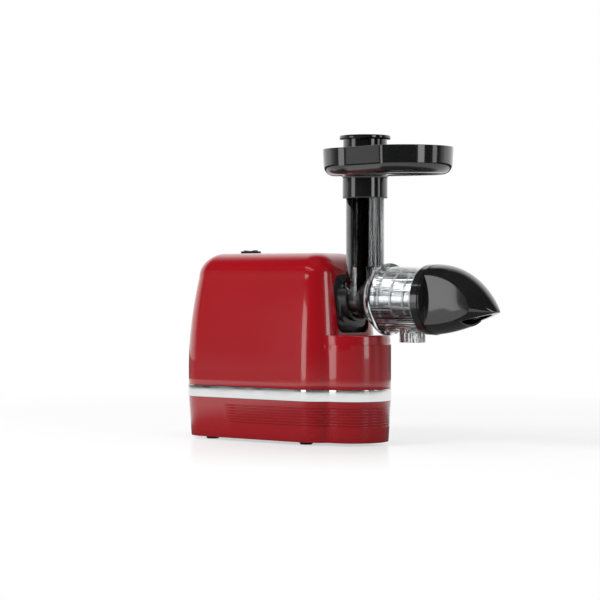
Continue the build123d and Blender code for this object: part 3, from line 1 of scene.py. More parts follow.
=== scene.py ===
import bpy
import bmesh
import json
import math
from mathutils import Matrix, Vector


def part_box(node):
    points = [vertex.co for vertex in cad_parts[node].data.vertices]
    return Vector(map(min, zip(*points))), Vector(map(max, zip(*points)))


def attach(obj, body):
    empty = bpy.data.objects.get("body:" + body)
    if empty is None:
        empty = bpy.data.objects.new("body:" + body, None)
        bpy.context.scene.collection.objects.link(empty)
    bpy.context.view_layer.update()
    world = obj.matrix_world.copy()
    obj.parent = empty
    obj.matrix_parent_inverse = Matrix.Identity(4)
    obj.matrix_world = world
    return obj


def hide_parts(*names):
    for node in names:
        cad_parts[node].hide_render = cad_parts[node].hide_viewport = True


# Cold press juicer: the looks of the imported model. Metres, +Z up, the auger axis along +X.

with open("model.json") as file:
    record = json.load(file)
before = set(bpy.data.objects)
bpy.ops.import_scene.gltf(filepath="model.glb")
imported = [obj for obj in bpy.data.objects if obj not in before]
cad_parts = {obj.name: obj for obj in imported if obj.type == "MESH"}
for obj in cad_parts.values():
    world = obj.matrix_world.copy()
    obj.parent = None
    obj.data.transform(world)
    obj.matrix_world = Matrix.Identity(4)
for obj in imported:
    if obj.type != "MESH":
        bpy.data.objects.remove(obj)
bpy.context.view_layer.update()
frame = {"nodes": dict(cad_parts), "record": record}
nodes = frame["nodes"]
slotOf = {part["node"]: part["material_slot"] for part in frame["record"]["subparts"]}
scene = bpy.context.scene
print("stage: frame loaded")


def middleOf(node):
    low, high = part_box(node)
    return (Vector(low) + Vector(high)) / 2


bandHalfLength = 0.1245  # the band stands 0.5 mm proud of a body 248 mm long
chuteX = middleOf("feed_chute").x
augerZ = middleOf("strainer_frame").z
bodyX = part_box("trim_band")[0][0] + bandHalfLength


# helpers for material nodes
def addNode(tree, kind, **inputs):
    node = tree.nodes.new(kind)
    for name, value in inputs.items():
        node.inputs[name.replace("_", " ")].default_value = value
    return node


def freshMaterial(name):
    material = bpy.data.materials.new(name)
    material.use_nodes = True
    tree = material.node_tree
    coords = tree.nodes.new("ShaderNodeTexCoord").outputs["Object"]
    return material, tree, tree.nodes["Principled BSDF"], coords


def noiseOf(tree, vector, scale, detail=3.0, stretch=None):
    if stretch is not None:
        mapping = addNode(tree, "ShaderNodeMapping", Scale=stretch)
        tree.links.new(vector, mapping.inputs["Vector"])
        vector = mapping.outputs["Vector"]
    noise = addNode(tree, "ShaderNodeTexNoise", Scale=scale, Detail=detail)
    tree.links.new(vector, noise.inputs["Vector"])
    return noise.outputs["Fac"]


noiseLow, noiseHigh = 0.15, 0.85  # a noise texture seldom leaves this range


def spreadTo(tree, value, low, high):
    spread = addNode(tree, "ShaderNodeMapRange", From_Min=noiseLow, From_Max=noiseHigh,
                     To_Min=low, To_Max=high)
    spread.interpolation_type = "SMOOTHSTEP"
    tree.links.new(value, spread.inputs["Value"])
    return spread.outputs["Result"]


def blendOf(tree, factor, first, second):
    mix = tree.nodes.new("ShaderNodeMix")
    mix.data_type = "RGBA"
    mix.inputs[6].default_value = (*first, 1)
    mix.inputs[7].default_value = (*second, 1)
    tree.links.new(factor, mix.inputs[0])
    return mix.outputs[2]


def mixedShader(tree, factor, first, second):
    mix = tree.nodes.new("ShaderNodeMixShader")
    tree.links.new(factor, mix.inputs["Fac"])
    tree.links.new(first, mix.inputs[1])
    tree.links.new(second, mix.inputs[2])
    return mix.outputs[0]


def mathOf(tree, operation, first, second):
    # each side is a socket or a number
    node = addNode(tree, "ShaderNodeMath")
    node.operation = operation
    for i, value in enumerate((first, second)):
        if isinstance(value, (int, float)):
            node.inputs[i].default_value = value
        else:
            tree.links.new(value, node.inputs[i])
    return node.outputs[0]


def seenDirectly(tree, path):
    # one for rays from the camera and through clear plastic
    return mathOf(tree, "MAXIMUM", path.outputs["Is Camera Ray"], path.outputs["Is Transmission Ray"])


def bumpOf(tree, height, distance, before=None):
    bump = addNode(tree, "ShaderNodeBump", Distance=distance, Strength=1.0)
    tree.links.new(height, bump.inputs["Height"])
    if before is not None:
        tree.links.new(before, bump.inputs["Normal"])
    return bump.outputs["Normal"]


view = {
    "azimuth": 40.0,       # degrees round the juicer, from its side towards its front
    "distance": 2.680,     # from the chute's axis
    "height": 0.212,
    "sideShift": -0.0822,  # the optical axis passes this far beside the chute
    "pitch": 0.6216,       # degrees down
    "lens": 127.2,
}


def makeCamera(v):
    turn = math.radians(v["azimuth"])
    back = Vector((math.sin(turn), -math.cos(turn), 0))
    right = Vector((math.cos(turn), math.sin(turn), 0))
    data = bpy.data.cameras.new("viewCamera")
    data.lens = v["lens"]
    data.sensor_width = 36.0
    data.clip_start = 0.05
    data.clip_end = 50.0
    camera = bpy.data.objects.new("viewCamera", data)
    scene.collection.objects.link(camera)
    place = Vector((chuteX, 0, 0)) + back * v["distance"] + right * v["sideShift"]
    camera.location = (place.x, place.y, v["height"])
    camera.rotation_euler = (math.radians(90 - v["pitch"]), 0, turn)
    scene.camera = camera


studio = {
    "floorColor": (0.86, 0.86, 0.86, 1),
    "floorReach": 6.0,           # half the floor's side
    "floorGlow": (0.56, 1.0),    # share of plain white near the juicer and far from it
    "glowReach": (0.15, 1.2),
    "floorGloss": 0.40,
    "glossReach": (0.12, 0.40),
    "floorRoughness": 0.12,
    "gleamReach": 2.0,
    # share of the reach, level
    "gleam": [(0.0, 0.10), (0.17, 0.12), (0.23, 0.94), (0.80, 0.94), (0.86, 0.02)],
    "worldFill": 0.40,           # what the diffuse surfaces get from all round
    "roomLevel": 0.02,           # what gloss sees on the dark side of the room
    "backdropTilt": -0.6,
    "backdropFade": (-0.05, 0.35),
    "lamps": [
        # name, place, target, width, height, watts, shown in gloss
        ("keyBox", (-0.9, -2.2, 1.9), (-0.05, 0.0, 0.12), 1.6, 1.0, 52.0, False),
        ("topBox", (0.04, -0.35, 2.3), (0.0, 0.0, 0.1), 1.7, 1.5, 18.0, False),
        ("rightBox", (2.1, 0.9, 0.9), (0.0, 0.0, 0.2), 0.5, 1.7, 5.0, True),
        ("frontCard", (1.88, -0.36, 0.66), (0.0, 0.0, 0.50), 0.50, 1.25, 6.0, True),
        ("wallCard", (-1.49, -1.47, 0.56), (-0.03, -0.06, 0.45), 0.56, 1.10, 0.22, True),
        ("flankCard", (-0.62, -1.42, 0.28), (0.19, -0.03, 0.2), 0.56, 0.54, 2.2, True),
        ("rimStrip", (-0.55, -1.70, 1.75), (0.0, 0.0, 0.2), 1.9, 0.16, 2.2, True),
    ],
}


def makeLamp(name, place, target, width, height, watts, glossy):
    data = bpy.data.lights.new(name, "AREA")
    data.shape = "RECTANGLE"
    data.size = width
    data.size_y = height
    data.energy = watts
    lamp = bpy.data.objects.new(name, data)
    scene.collection.objects.link(lamp)
    lamp.location = place
    lamp.rotation_euler = (Vector(target) - Vector(place)).to_track_quat("-Z", "Y").to_euler()
    lamp.visible_camera = False
    lamp.visible_glossy = glossy


def makeWorld(s, v):
    # plain white to the eye and through clear plastic
    # gloss sees a white backdrop behind the juicer and a dark room in front of it
    world = bpy.data.worlds.new("paleStudio")
    scene.world = world
    world.use_nodes = True
    tree = world.node_tree
    tree.nodes.clear()
    out = tree.nodes.new("ShaderNodeOutputWorld")
    fill = addNode(tree, "ShaderNodeBackground", Color=(1, 1, 1, 1), Strength=s["worldFill"])
    seen = addNode(tree, "ShaderNodeBackground", Color=(1, 1, 1, 1), Strength=1.0)
    mirrored = addNode(tree, "ShaderNodeBackground", Color=(1, 1, 1, 1))
    turn = math.radians(v["azimuth"])
    facing = addNode(tree, "ShaderNodeVectorMath")
    facing.operation = "DOT_PRODUCT"
    facing.inputs[1].default_value = (-math.sin(turn), math.cos(turn), s["backdropTilt"])
    tree.links.new(tree.nodes.new("ShaderNodeTexCoord").outputs["Generated"], facing.inputs[0])
    backdrop = addNode(tree, "ShaderNodeMapRange", From_Min=s["backdropFade"][0],
                       From_Max=s["backdropFade"][1], To_Min=s["roomLevel"], To_Max=1.0)
    tree.links.new(facing.outputs["Value"], backdrop.inputs["Value"])
    tree.links.new(backdrop.outputs["Result"], mirrored.inputs["Strength"])
    path = tree.nodes.new("ShaderNodeLightPath")
    unseen = mixedShader(tree, path.outputs["Is Glossy Ray"], fill.outputs[0], mirrored.outputs[0])
    surface = mixedShader(tree, seenDirectly(tree, path), unseen, seen.outputs[0])
    tree.links.new(surface, out.inputs["Surface"])


def makeFloor(s):
    reach = s["floorReach"]
    mesh = bpy.data.meshes.new("floor")
    corners = [(-reach, -reach, 0), (reach, -reach, 0), (reach, reach, 0), (-reach, reach, 0)]
    mesh.from_pydata(corners, [], [(0, 1, 2, 3)])
    floor = bpy.data.objects.new("floor", mesh)
    scene.collection.objects.link(floor)
    material, tree, shader, coords = freshMaterial("paleTable")
    shader.inputs["Base Color"].default_value = s["floorColor"]
    smear = spreadTo(tree, noiseOf(tree, coords, 6.0), s["floorRoughness"] * 0.8, s["floorRoughness"] * 1.3)
    tree.links.new(smear, shader.inputs["Roughness"])
    shader.inputs["Specular IOR Level"].default_value = 0.0
    gloss = addNode(tree, "ShaderNodeBsdfGlossy", Color=(1, 1, 1, 1), Roughness=s["floorRoughness"])
    fromJuicer = addNode(tree, "ShaderNodeVectorMath")
    fromJuicer.operation = "LENGTH"
    tree.links.new(coords, fromJuicer.inputs[0])
    distance = fromJuicer.outputs["Value"]

    def byDistance(near, far, levelNear, levelFar):
        fade = addNode(tree, "ShaderNodeMapRange", From_Min=near, From_Max=far,
                       To_Min=levelNear, To_Max=levelFar)
        tree.links.new(distance, fade.inputs["Value"])
        return fade.outputs["Result"]

    # the table is white to the eye, and keeps the shadow and a faint reflection near the juicer
    glossShare = byDistance(*s["glossReach"], s["floorGloss"], 0.0)
    polished = mixedShader(tree, glossShare, shader.outputs["BSDF"], gloss.outputs["BSDF"])
    path = tree.nodes.new("ShaderNodeLightPath")
    glowShare = byDistance(*s["glowReach"], *s["floorGlow"])
    glow = addNode(tree, "ShaderNodeEmission", Color=(1, 1, 1, 1), Strength=1.0)
    share = mathOf(tree, "MULTIPLY", seenDirectly(tree, path), glowShare)
    seen = mixedShader(tree, share, polished, glow.outputs[0])
    # in gloss the table is pale at arm's length and falls off nearer and farther
    gleam = tree.nodes.new("ShaderNodeValToRGB")
    stops = gleam.color_ramp.elements
    first, *middle, last = s["gleam"]
    for stop, (place, level) in ((stops[0], first), (stops[1], last)):
        stop.position, stop.color = place, (level, level, level, 1)
    for place, level in middle:
        stops.new(place).color = (level, level, level, 1)
    tree.links.new(mathOf(tree, "DIVIDE", distance, s["gleamReach"]), gleam.inputs["Fac"])
    mirrored = addNode(tree, "ShaderNodeEmission", Strength=1.0)
    tree.links.new(gleam.outputs["Color"], mirrored.inputs["Color"])
    surface = mixedShader(tree, path.outputs["Is Glossy Ray"], seen, mirrored.outputs[0])
    tree.links.new(surface, tree.nodes["Material Output"].inputs["Surface"])
    mesh.materials.append(material)


makeCamera(view)
makeWorld(studio, view)
makeFloor(studio)
for lampFacts in studio["lamps"]:
    makeLamp(*lampFacts)
scene.view_settings.view_transform = "Standard"
print("stage: studio made")


wearAndHighlightFrom, wearAndHighlightTo = 0.52, 0.62  # pointiness where the paler edge, partly wear and partly painted highlight, begins and is full


def paintEdgeWearAndHighlight(tree, color, f):
    # edges and ridges are painted a little paler than the faces: partly wear, partly a painted highlight
    pointiness = tree.nodes.new("ShaderNodeNewGeometry").outputs["Pointiness"]
    edge = addNode(tree, "ShaderNodeMapRange", From_Min=wearAndHighlightFrom, From_Max=wearAndHighlightTo,
                   To_Min=0.0, To_Max=f["edgeWearAndHighlight"])
    tree.links.new(pointiness, edge.inputs["Value"])
    mix = tree.nodes.new("ShaderNodeMix")
    mix.data_type = "RGBA"
    mix.inputs[7].default_value = (*f["edgeColor"], 1)
    tree.links.new(edge.outputs["Result"], mix.inputs[0])
    tree.links.new(color, mix.inputs[6])
    return mix.outputs[2]


def plasticFinish(name, f):
    material, tree, shader, coords = freshMaterial(name)
    tone = noiseOf(tree, coords, f["toneScale"], 2.0)
    color = blendOf(tree, spreadTo(tree, tone, 0, 1), f["color"], f["shade"])
    # paler edges: partly wear, partly a painted highlight painted into the base colour
    if "edgeWearAndHighlight" in f:
        color = paintEdgeWearAndHighlight(tree, color, f)
    tree.links.new(color, shader.inputs["Base Color"])
    smear = noiseOf(tree, coords, f["smearScale"], 4.0)
    tree.links.new(spreadTo(tree, smear, *f["roughness"]), shader.inputs["Roughness"])
    normal = bumpOf(tree, noiseOf(tree, coords, f["grainScale"], 2.0), f["grainDepth"])
    if "waveDepth" in f:
        normal = bumpOf(tree, noiseOf(tree, coords, f["waveScale"], 1.0), f["waveDepth"], normal)
    tree.links.new(normal, shader.inputs["Normal"])
    shader.inputs["IOR"].default_value = 1.5
    shader.inputs["Coat Weight"].default_value = f.get("coat", 0.0)
    shader.inputs["Coat Roughness"].default_value = f.get("coatRoughness", 0.03)
    return material


def metalFinish(name, f):
    material, tree, shader, coords = freshMaterial(name)
    brushed = noiseOf(tree, coords, f["brushScale"], 3.0, f["brushStretch"])
    color = blendOf(tree, spreadTo(tree, brushed, 0, 1), f["color"], f["shade"])
    tree.links.new(color, shader.inputs["Base Color"])
    cloud = noiseOf(tree, coords, f["cloudScale"], 4.0)
    tree.links.new(spreadTo(tree, cloud, *f["roughness"]), shader.inputs["Roughness"])
    tree.links.new(bumpOf(tree, brushed, f["brushDepth"]), shader.inputs["Normal"])
    shader.inputs["Metallic"].default_value = 1.0
    return material


def clearFinish(name, f):
    material, tree, shader, coords = freshMaterial(name)
    shader.inputs["Base Color"].default_value = (*f["color"], 1)
    shader.inputs["Transmission Weight"].default_value = 1.0
    shader.inputs["IOR"].default_value = 1.58
    haze = noiseOf(tree, coords, f["hazeScale"], 5.0)
    tree.links.new(spreadTo(tree, haze, *f["roughness"]), shader.inputs["Roughness"])
    flow = noiseOf(tree, coords, f["flowScale"], 2.0, f["flowStretch"])
    tree.links.new(bumpOf(tree, flow, f["flowDepth"]), shader.inputs["Normal"])
    # lamps shine through it, so it casts only a faint shadow
    through = addNode(tree, "ShaderNodeBsdfTransparent", Color=(*f["shadow"], 1))
    path = tree.nodes.new("ShaderNodeLightPath")
    surface = mixedShader(tree, path.outputs["Is Shadow Ray"],
                          shader.outputs["BSDF"], through.outputs["BSDF"])
    tree.links.new(surface, tree.nodes["Material Output"].inputs["Surface"])
    return material


# the edge colour makes edges paler: partly wear, partly a painted highlight
plastics = {
    "red_gloss": {"color": (0.300, 0.0012, 0.006), "shade": (0.282, 0.001, 0.005), "toneScale": 9.0,
                  "smearScale": 12.0, "roughness": (0.20, 0.26), "grainScale": 520.0, "grainDepth": 0.000004,
                  "coat": 1.0, "coatRoughness": 0.025,
                  "edgeWearAndHighlight": 0.3, "edgeColor": (0.36, 0.01, 0.015)},
    "black_gloss": {"color": (0.0075, 0.0078, 0.0078), "shade": (0.0105, 0.0108, 0.0105), "toneScale": 12.0,
                    "smearScale": 26.0, "roughness": (0.08, 0.14),
                    "grainScale": 600.0, "grainDepth": 0.000006,
                    "waveScale": 55.0, "waveDepth": 0.00003, "coat": 0.7, "coatRoughness": 0.04,
                    "edgeWearAndHighlight": 0.35, "edgeColor": (0.05, 0.05, 0.05)},
    "black_satin": {"color": (0.010, 0.010, 0.0105), "shade": (0.014, 0.014, 0.0145), "toneScale": 14.0,
                    "smearScale": 30.0, "roughness": (0.20, 0.265),
                    "grainScale": 1900.0, "grainDepth": 0.00002,
                    "edgeWearAndHighlight": 0.4, "edgeColor": (0.06, 0.06, 0.06)},
    "black_matte": {"color": (0.016, 0.016, 0.016), "shade": (0.024, 0.024, 0.024), "toneScale": 16.0,
                    "smearScale": 30.0, "roughness": (0.5, 0.65),
                    "grainScale": 1600.0, "grainDepth": 0.00005},
    "auger_plastic": {"color": (0.012, 0.0125, 0.013), "shade": (0.02, 0.02, 0.021), "toneScale": 18.0,
                      "smearScale": 40.0, "roughness": (0.28, 0.38),
                      "grainScale": 1500.0, "grainDepth": 0.00002,
                      "edgeWearAndHighlight": 0.5, "edgeColor": (0.08, 0.08, 0.08)},
    "strainer_plastic": {"color": (0.27, 0.275, 0.28), "shade": (0.33, 0.335, 0.34), "toneScale": 20.0,
                         "smearScale": 40.0, "roughness": (0.28, 0.38),
                         "grainScale": 1500.0, "grainDepth": 0.00002},
    "silicone_seal": {"color": (0.55, 0.55, 0.53), "shade": (0.62, 0.62, 0.60), "toneScale": 30.0,
                      "smearScale": 40.0, "roughness": (0.5, 0.62),
                      "grainScale": 1800.0, "grainDepth": 0.00003},
    "soft_rubber": {"color": (0.016, 0.016, 0.017), "shade": (0.024, 0.024, 0.025), "toneScale": 30.0,
                    "smearScale": 50.0, "roughness": (0.62, 0.8),
                    "grainScale": 2200.0, "grainDepth": 0.00006},
    "grey_nylon": {"color": (0.12, 0.125, 0.13), "shade": (0.15, 0.155, 0.16), "toneScale": 25.0,
                   "smearScale": 40.0, "roughness": (0.4, 0.55), "grainScale": 1700.0, "grainDepth": 0.00004},
    "white_nylon": {"color": (0.62, 0.61, 0.57), "shade": (0.68, 0.67, 0.62), "toneScale": 25.0,
                    "smearScale": 40.0, "roughness": (0.36, 0.5),
                    "grainScale": 1700.0, "grainDepth": 0.00003},
    "brush_carbon": {"color": (0.02, 0.02, 0.021), "shade": (0.035, 0.035, 0.036), "toneScale": 200.0,
                     "smearScale": 90.0, "roughness": (0.5, 0.7),
                     "grainScale": 3000.0, "grainDepth": 0.00005},
    "board_laminate": {"color": (0.015, 0.10, 0.035), "shade": (0.03, 0.17, 0.06), "toneScale": 150.0,
                       "smearScale": 60.0, "roughness": (0.3, 0.45),
                       "grainScale": 900.0, "grainDepth": 0.00003},
}
metals = {
    "chrome_trim": {"color": (0.83, 0.84, 0.84), "shade": (0.78, 0.79, 0.79), "brushScale": 900.0,
                    "brushStretch": (0.04, 0.04, 1.0), "brushDepth": 0.0000015, "cloudScale": 30.0,
                    "roughness": (0.04, 0.10)},
    "zinc_steel": {"color": (0.50, 0.50, 0.51), "shade": (0.40, 0.40, 0.42), "brushScale": 500.0,
                   "brushStretch": (1.0, 1.0, 1.0), "brushDepth": 0.00002, "cloudScale": 90.0,
                   "roughness": (0.28, 0.42)},
    "bearing_steel": {"color": (0.60, 0.60, 0.61), "shade": (0.52, 0.52, 0.54), "brushScale": 1200.0,
                      "brushStretch": (1.0, 0.05, 0.05), "brushDepth": 0.000004, "cloudScale": 60.0,
                      "roughness": (0.14, 0.26)},
    "core_iron": {"color": (0.16, 0.16, 0.17), "shade": (0.10, 0.10, 0.11), "brushScale": 1400.0,
                  "brushStretch": (1.0, 0.02, 0.02), "brushDepth": 0.00006, "cloudScale": 50.0,
                  "roughness": (0.4, 0.55)},
    "cast_alloy": {"color": (0.45, 0.45, 0.46), "shade": (0.36, 0.36, 0.37), "brushScale": 700.0,
                   "brushStretch": (1.0, 1.0, 1.0), "brushDepth": 0.00008, "cloudScale": 60.0,
                   "roughness": (0.45, 0.6)},
    "winding_copper": {"color": (0.50, 0.19, 0.07), "shade": (0.30, 0.10, 0.035), "brushScale": 1500.0,
                       "brushStretch": (0.04, 1.0, 1.0), "brushDepth": 0.00016, "cloudScale": 60.0,
                       "roughness": (0.28, 0.36)},
    "terminal_brass": {"color": (0.60, 0.42, 0.15), "shade": (0.48, 0.33, 0.12), "brushScale": 900.0,
                       "brushStretch": (1.0, 0.1, 0.1), "brushDepth": 0.00001, "cloudScale": 60.0,
                       "roughness": (0.28, 0.36)},
}
clears = {
    "clear_plastic": {"color": (0.93, 0.955, 0.96), "roughness": (0.01, 0.05), "hazeScale": 35.0,
                      "flowScale": 30.0, "flowStretch": (1.0, 1.0, 0.5), "flowDepth": 0.00006,
                      "shadow": (0.82, 0.83, 0.84)},
}
finishes = {}
for kind, makeFinish in ((plastics, plasticFinish), (metals, metalFinish), (clears, clearFinish)):
    for slotName, facts in kind.items():
        finishes[slotName] = makeFinish(slotName.replace("_", " ").title().replace(" ", ""), facts)

for nodeName, node in nodes.items():
    node.data.materials.clear()
    node.data.materials.append(finishes[slotOf[nodeName]])
print("stage: finishes applied")


def placePiece(name, mesh, body, replaced, sharpAngle):
    # puts the piece on its body in place of the CAD nodes
    mesh.shade_smooth()
    mesh.set_sharp_from_angle(angle=math.radians(sharpAngle))
    piece = bpy.data.objects.new(name, mesh)
    scene.collection.objects.link(piece)
    mesh.materials.clear()
    mesh.materials.append(finishes[slotOf[replaced[0]]])
    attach(piece, body)
    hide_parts(*replaced)


speck = 0.000002  # edges shorter than this are closed up


def finishPiece(name, mesh, body, replaced, sharpAngle, weld=0.00001):
    # closes seams and points faces outward first
    work = bmesh.new()
    work.from_mesh(mesh)
    bmesh.ops.remove_doubles(work, verts=work.verts, dist=weld)
    bmesh.ops.dissolve_degenerate(work, edges=work.edges, dist=speck)
    bmesh.ops.recalc_face_normals(work, faces=work.faces)
    work.to_mesh(mesh)
    work.free()
    placePiece(name, mesh, body, replaced, sharpAngle)


def ringMesh(name, rings, closeAcross=False, capFirst=False, capLast=False):
    # rings of equally many points, joined in order; closeAcross also joins the last ring to the first
    count = len(rings[0])
    points = [point for ring in rings for point in ring]
    faces = []
    bands = len(rings) if closeAcross else len(rings) - 1
    for band in range(bands):
        here, there = band * count, (band + 1) % len(rings) * count
        for i in range(count):
            after = (i + 1) % count
            faces.append((here + i, here + after, there + after, there + i))
    if capFirst:
        faces.append(tuple(range(count)))
    if capLast:
        faces.append(tuple(range((len(rings) - 1) * count, len(rings) * count)))
    mesh = bpy.data.meshes.new(name)
    mesh.from_pydata(points, [], faces)
    return mesh


def arcPoints(centre, radius, start, end, count):
    # points on an arc in a plane, angles in degrees
    turns = [math.radians(start + (end - start) * i / count) for i in range(count + 1)]
    return [(centre[0] + radius * math.cos(t), centre[1] + radius * math.sin(t)) for t in turns]


def lathe(name, profile, centre, columns):
    # turns a closed (radius, height) profile about an upright axis
    rings = []
    for radius, height in profile:
        turns = [2 * math.pi * i / columns for i in range(columns)]
        rings.append([(centre[0] + radius * math.cos(t), centre[1] + radius * math.sin(t), height)
                      for t in turns])
    return ringMesh(name, rings, closeAcross=True)


def modified(mesh, *modifiers):
    # a new mesh with modifiers applied: (kind, {setting: value}) pairs
    holder = bpy.data.objects.new("holder", mesh)
    scene.collection.objects.link(holder)
    for kind, settings in modifiers:
        modifier = holder.modifiers.new(kind, kind)
        for key, value in settings.items():
            setattr(modifier, key, value)
    bpy.context.view_layer.update()
    evaluated = holder.evaluated_get(bpy.context.evaluated_depsgraph_get())
    result = bpy.data.meshes.new_from_object(evaluated)
    bpy.data.objects.remove(holder)
    return result


def walledIn(mesh, thickness):
    # the wall grows inward from the mesh
    return modified(mesh, ("SOLIDIFY", {"thickness": thickness, "offset": -1.0}))


def cutAway(mesh, cutterMesh):
    cutter = bpy.data.objects.new("cutter", cutterMesh)
    scene.collection.objects.link(cutter)
    result = modified(mesh, ("BOOLEAN", {"operation": "DIFFERENCE", "object": cutter, "solver": "EXACT"}))
    bpy.data.objects.remove(cutter)
    return result


shell = {
    "length": 0.248, "width": 0.130, "height": 0.243,
    "corner": 0.036, "cornerShare": 0.65, "topRound": 0.032,
    "leanStart": 0.092, "lean": 0.012,
    "noseRadius": 0.048, "noseReach": 0.121, "noseBlend": 0.009,
    "crease": 0.127, "noseTop": 0.139, "creaseStep": 0.0007, "noseEdge": 0.0025,
    "creaseFade": 0.4, "creaseInset": 2,   # share of the nose, and points, over which the crease runs out
    "plainTurn": 80.0, "capInset": 0.0015,
    "wall": 0.0028, "edge": 0.0005, "switchLip": 0.0016, "switchReach": 0.010,
}
outlineCounts = {"rear": 6, "rearCorner": 18, "side": 20, "frontCorner": 12, "blend": 8, "nose": 24}


def leanAt(z, s):
    shoulder = s["height"] - s["topRound"]
    if z <= s["leanStart"]:
        return 0.0
    return s["lean"] * ((min(z, shoulder) - s["leanStart"]) / (shoulder - s["leanStart"])) ** 2


def halfOutline(inset, lean, withNose, s, counts):
    # from the middle of the rear round to the middle of the front, on the +Y side
    boxInset = inset + lean
    a, b = s["length"] / 2 - boxInset, s["width"] / 2 - boxInset
    r = min(s["corner"] - s["cornerShare"] * boxInset, b)
    cornerX, cornerY = a - r, b - r
    noseRadius, blend = s["noseRadius"] - inset, s["noseBlend"] + inset
    points = [(-a, cornerY * i / counts["rear"]) for i in range(counts["rear"])]
    points += arcPoints((-cornerX, cornerY), r, 180, 90, counts["rearCorner"])[:-1]
    points += [(-cornerX + 2 * cornerX * i / counts["side"], b) for i in range(counts["side"])]
    # the blend's centre lies at a given distance from both the corner's and the nose's centres
    toNose = Vector((s["noseReach"] - cornerX, -cornerY))
    gap = toNose.length
    near, far = r + blend, noseRadius + blend
    along = (near ** 2 - far ** 2 + gap ** 2) / (2 * gap)
    across = math.sqrt(max(near ** 2 - along ** 2, 0.0))
    unit = toNose / gap
    blendCentre = Vector((cornerX, cornerY)) + unit * along + Vector((-unit.y, unit.x)) * across
    cornerTurn = math.degrees(math.atan2(blendCentre.y - cornerY, blendCentre.x - cornerX))
    noseTurn = math.degrees(math.atan2(blendCentre.y, blendCentre.x - s["noseReach"]))
    if withNose:
        points += arcPoints((cornerX, cornerY), r, 90, cornerTurn, counts["frontCorner"])[:-1]
        points += arcPoints(blendCentre, blend, cornerTurn + 180, noseTurn + 180, counts["blend"])[:-1]
        points += arcPoints((s["noseReach"], 0), noseRadius, noseTurn, 0, counts["nose"])
    else:
        rest, cornerTurn = counts["nose"] // 2, min(cornerTurn, s["plainTurn"])
        points += arcPoints((cornerX, cornerY), r, 90, cornerTurn, counts["frontCorner"])[:-1]
        points += arcPoints((cornerX, cornerY), r, cornerTurn, 0,
                            counts["blend"] + counts["nose"] - rest)[:-1]
        points += [(a, cornerY * (1 - i / rest)) for i in range(rest + 1)]
    return points


def outlineRing(z, half):
    points = [(bodyX + x, y, z) for x, y in half]
    return points + [(x, -y, z) for x, y, z in reversed(points[1:-1])]


def bodyRings(s, counts):
    # from the band up: the creased nose, the step back to the flank, the leaning flank, the rounded top
    rings = []
    noseSteps, flankSteps, topSteps = 8, 14, 16
    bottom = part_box("trim_band")[1][2]
    edge = s["edge"]
    for z, inset in ((bottom, edge), (bottom + edge * 0.3, edge * 0.3), (bottom + edge, 0)):
        rings.append(outlineRing(z, halfOutline(inset, 0, True, s, counts)))
    for i in range(1, noseSteps + 1):
        z = bottom + edge + (s["crease"] - edge - bottom - edge) * i / noseSteps
        rings.append(outlineRing(z, halfOutline(0, leanAt(z, s), True, s, counts)))
    step, top, rim = s["creaseStep"], s["noseTop"], s["noseEdge"]
    creaseLine = [(s["crease"] - edge * 0.4, step * 0.25),
                  (s["crease"], step), (s["crease"] + edge, step * 1.15)]
    sideLine = [(s["crease"] + edge + (top - rim - s["crease"] - edge) * i / 3, step * (1.15 + 0.15 * i))
                for i in (1, 2, 3)]
    roundLine = [(top - rim + rim * math.sin(t), step * 1.6 + rim * (1 - math.cos(t)))
                 for t in (math.radians(15 * i) for i in range(1, 7))]
    for z, inset in creaseLine + sideLine + roundLine:
        plainNose, creasedNose = halfOutline(0, 0, True, s, counts), halfOutline(inset, 0, True, s, counts)
        nose = fadeCrease(plainNose, creasedNose, s, counts)
        box = halfOutline(0, leanAt(z, s), True, s, counts)
        rings.append(outlineRing(z, mixNose(nose, box, counts)))
    lastNose = rings[-1]
    plain = outlineRing(top, halfOutline(0, leanAt(top, s), False, s, counts))
    for share in (0.35, 0.75, 0.94, 1.0):
        rings.append([tuple(Vector(p).lerp(Vector(q), share)) for p, q in zip(lastNose, plain)])
    shoulder = s["height"] - s["topRound"]
    for i in range(1, flankSteps + 1):
        z = top + (shoulder - top) * i / flankSteps
        rings.append(outlineRing(z, halfOutline(0, leanAt(z, s), False, s, counts)))
    for i in range(1, topSteps + 1):
        turn = math.radians(90 * i / topSteps)
        z = shoulder + s["topRound"] * math.sin(turn)
        inward = s["lean"] + s["topRound"] * (1 - math.cos(turn))
        rings.append(outlineRing(z, halfOutline(0, inward, False, s, counts)))
    inward = s["lean"] + s["topRound"] + s["capInset"]
    rings.append(outlineRing(s["height"], halfOutline(0, inward, False, s, counts)))
    return rings


def clamped(share):
    return min(max(share, 0.0), 1.0)


def eased(share):
    share = clamped(share)
    return share * share * (3 - 2 * share)


def between(p, q, share):
    return p[0] + (q[0] - p[0]) * share, p[1] + (q[1] - p[1]) * share


def fadeCrease(plain, creased, s, counts):
    # the crease has its full depth on the nose and runs out before the blend with the flank
    start = len(plain) - 1 - counts["nose"] - s["creaseInset"]
    return [between(p, q, eased((i - start) / (counts["nose"] * s["creaseFade"])))
            for i, (p, q) in enumerate(zip(plain, creased))]


def mixNose(nose, box, counts):
    # the nose's outline in front of the blend, the leaning box behind it
    start = len(nose) - 1 - counts["nose"] - counts["blend"]
    return [between(q, p, clamped((i - start) / counts["blend"])) for i, (p, q) in enumerate(zip(nose, box))]


collar = {"gap": 0.0002, "lowRound": 0.011, "highRound": 0.022, "behind": 0.004, "ahead": 0.08}


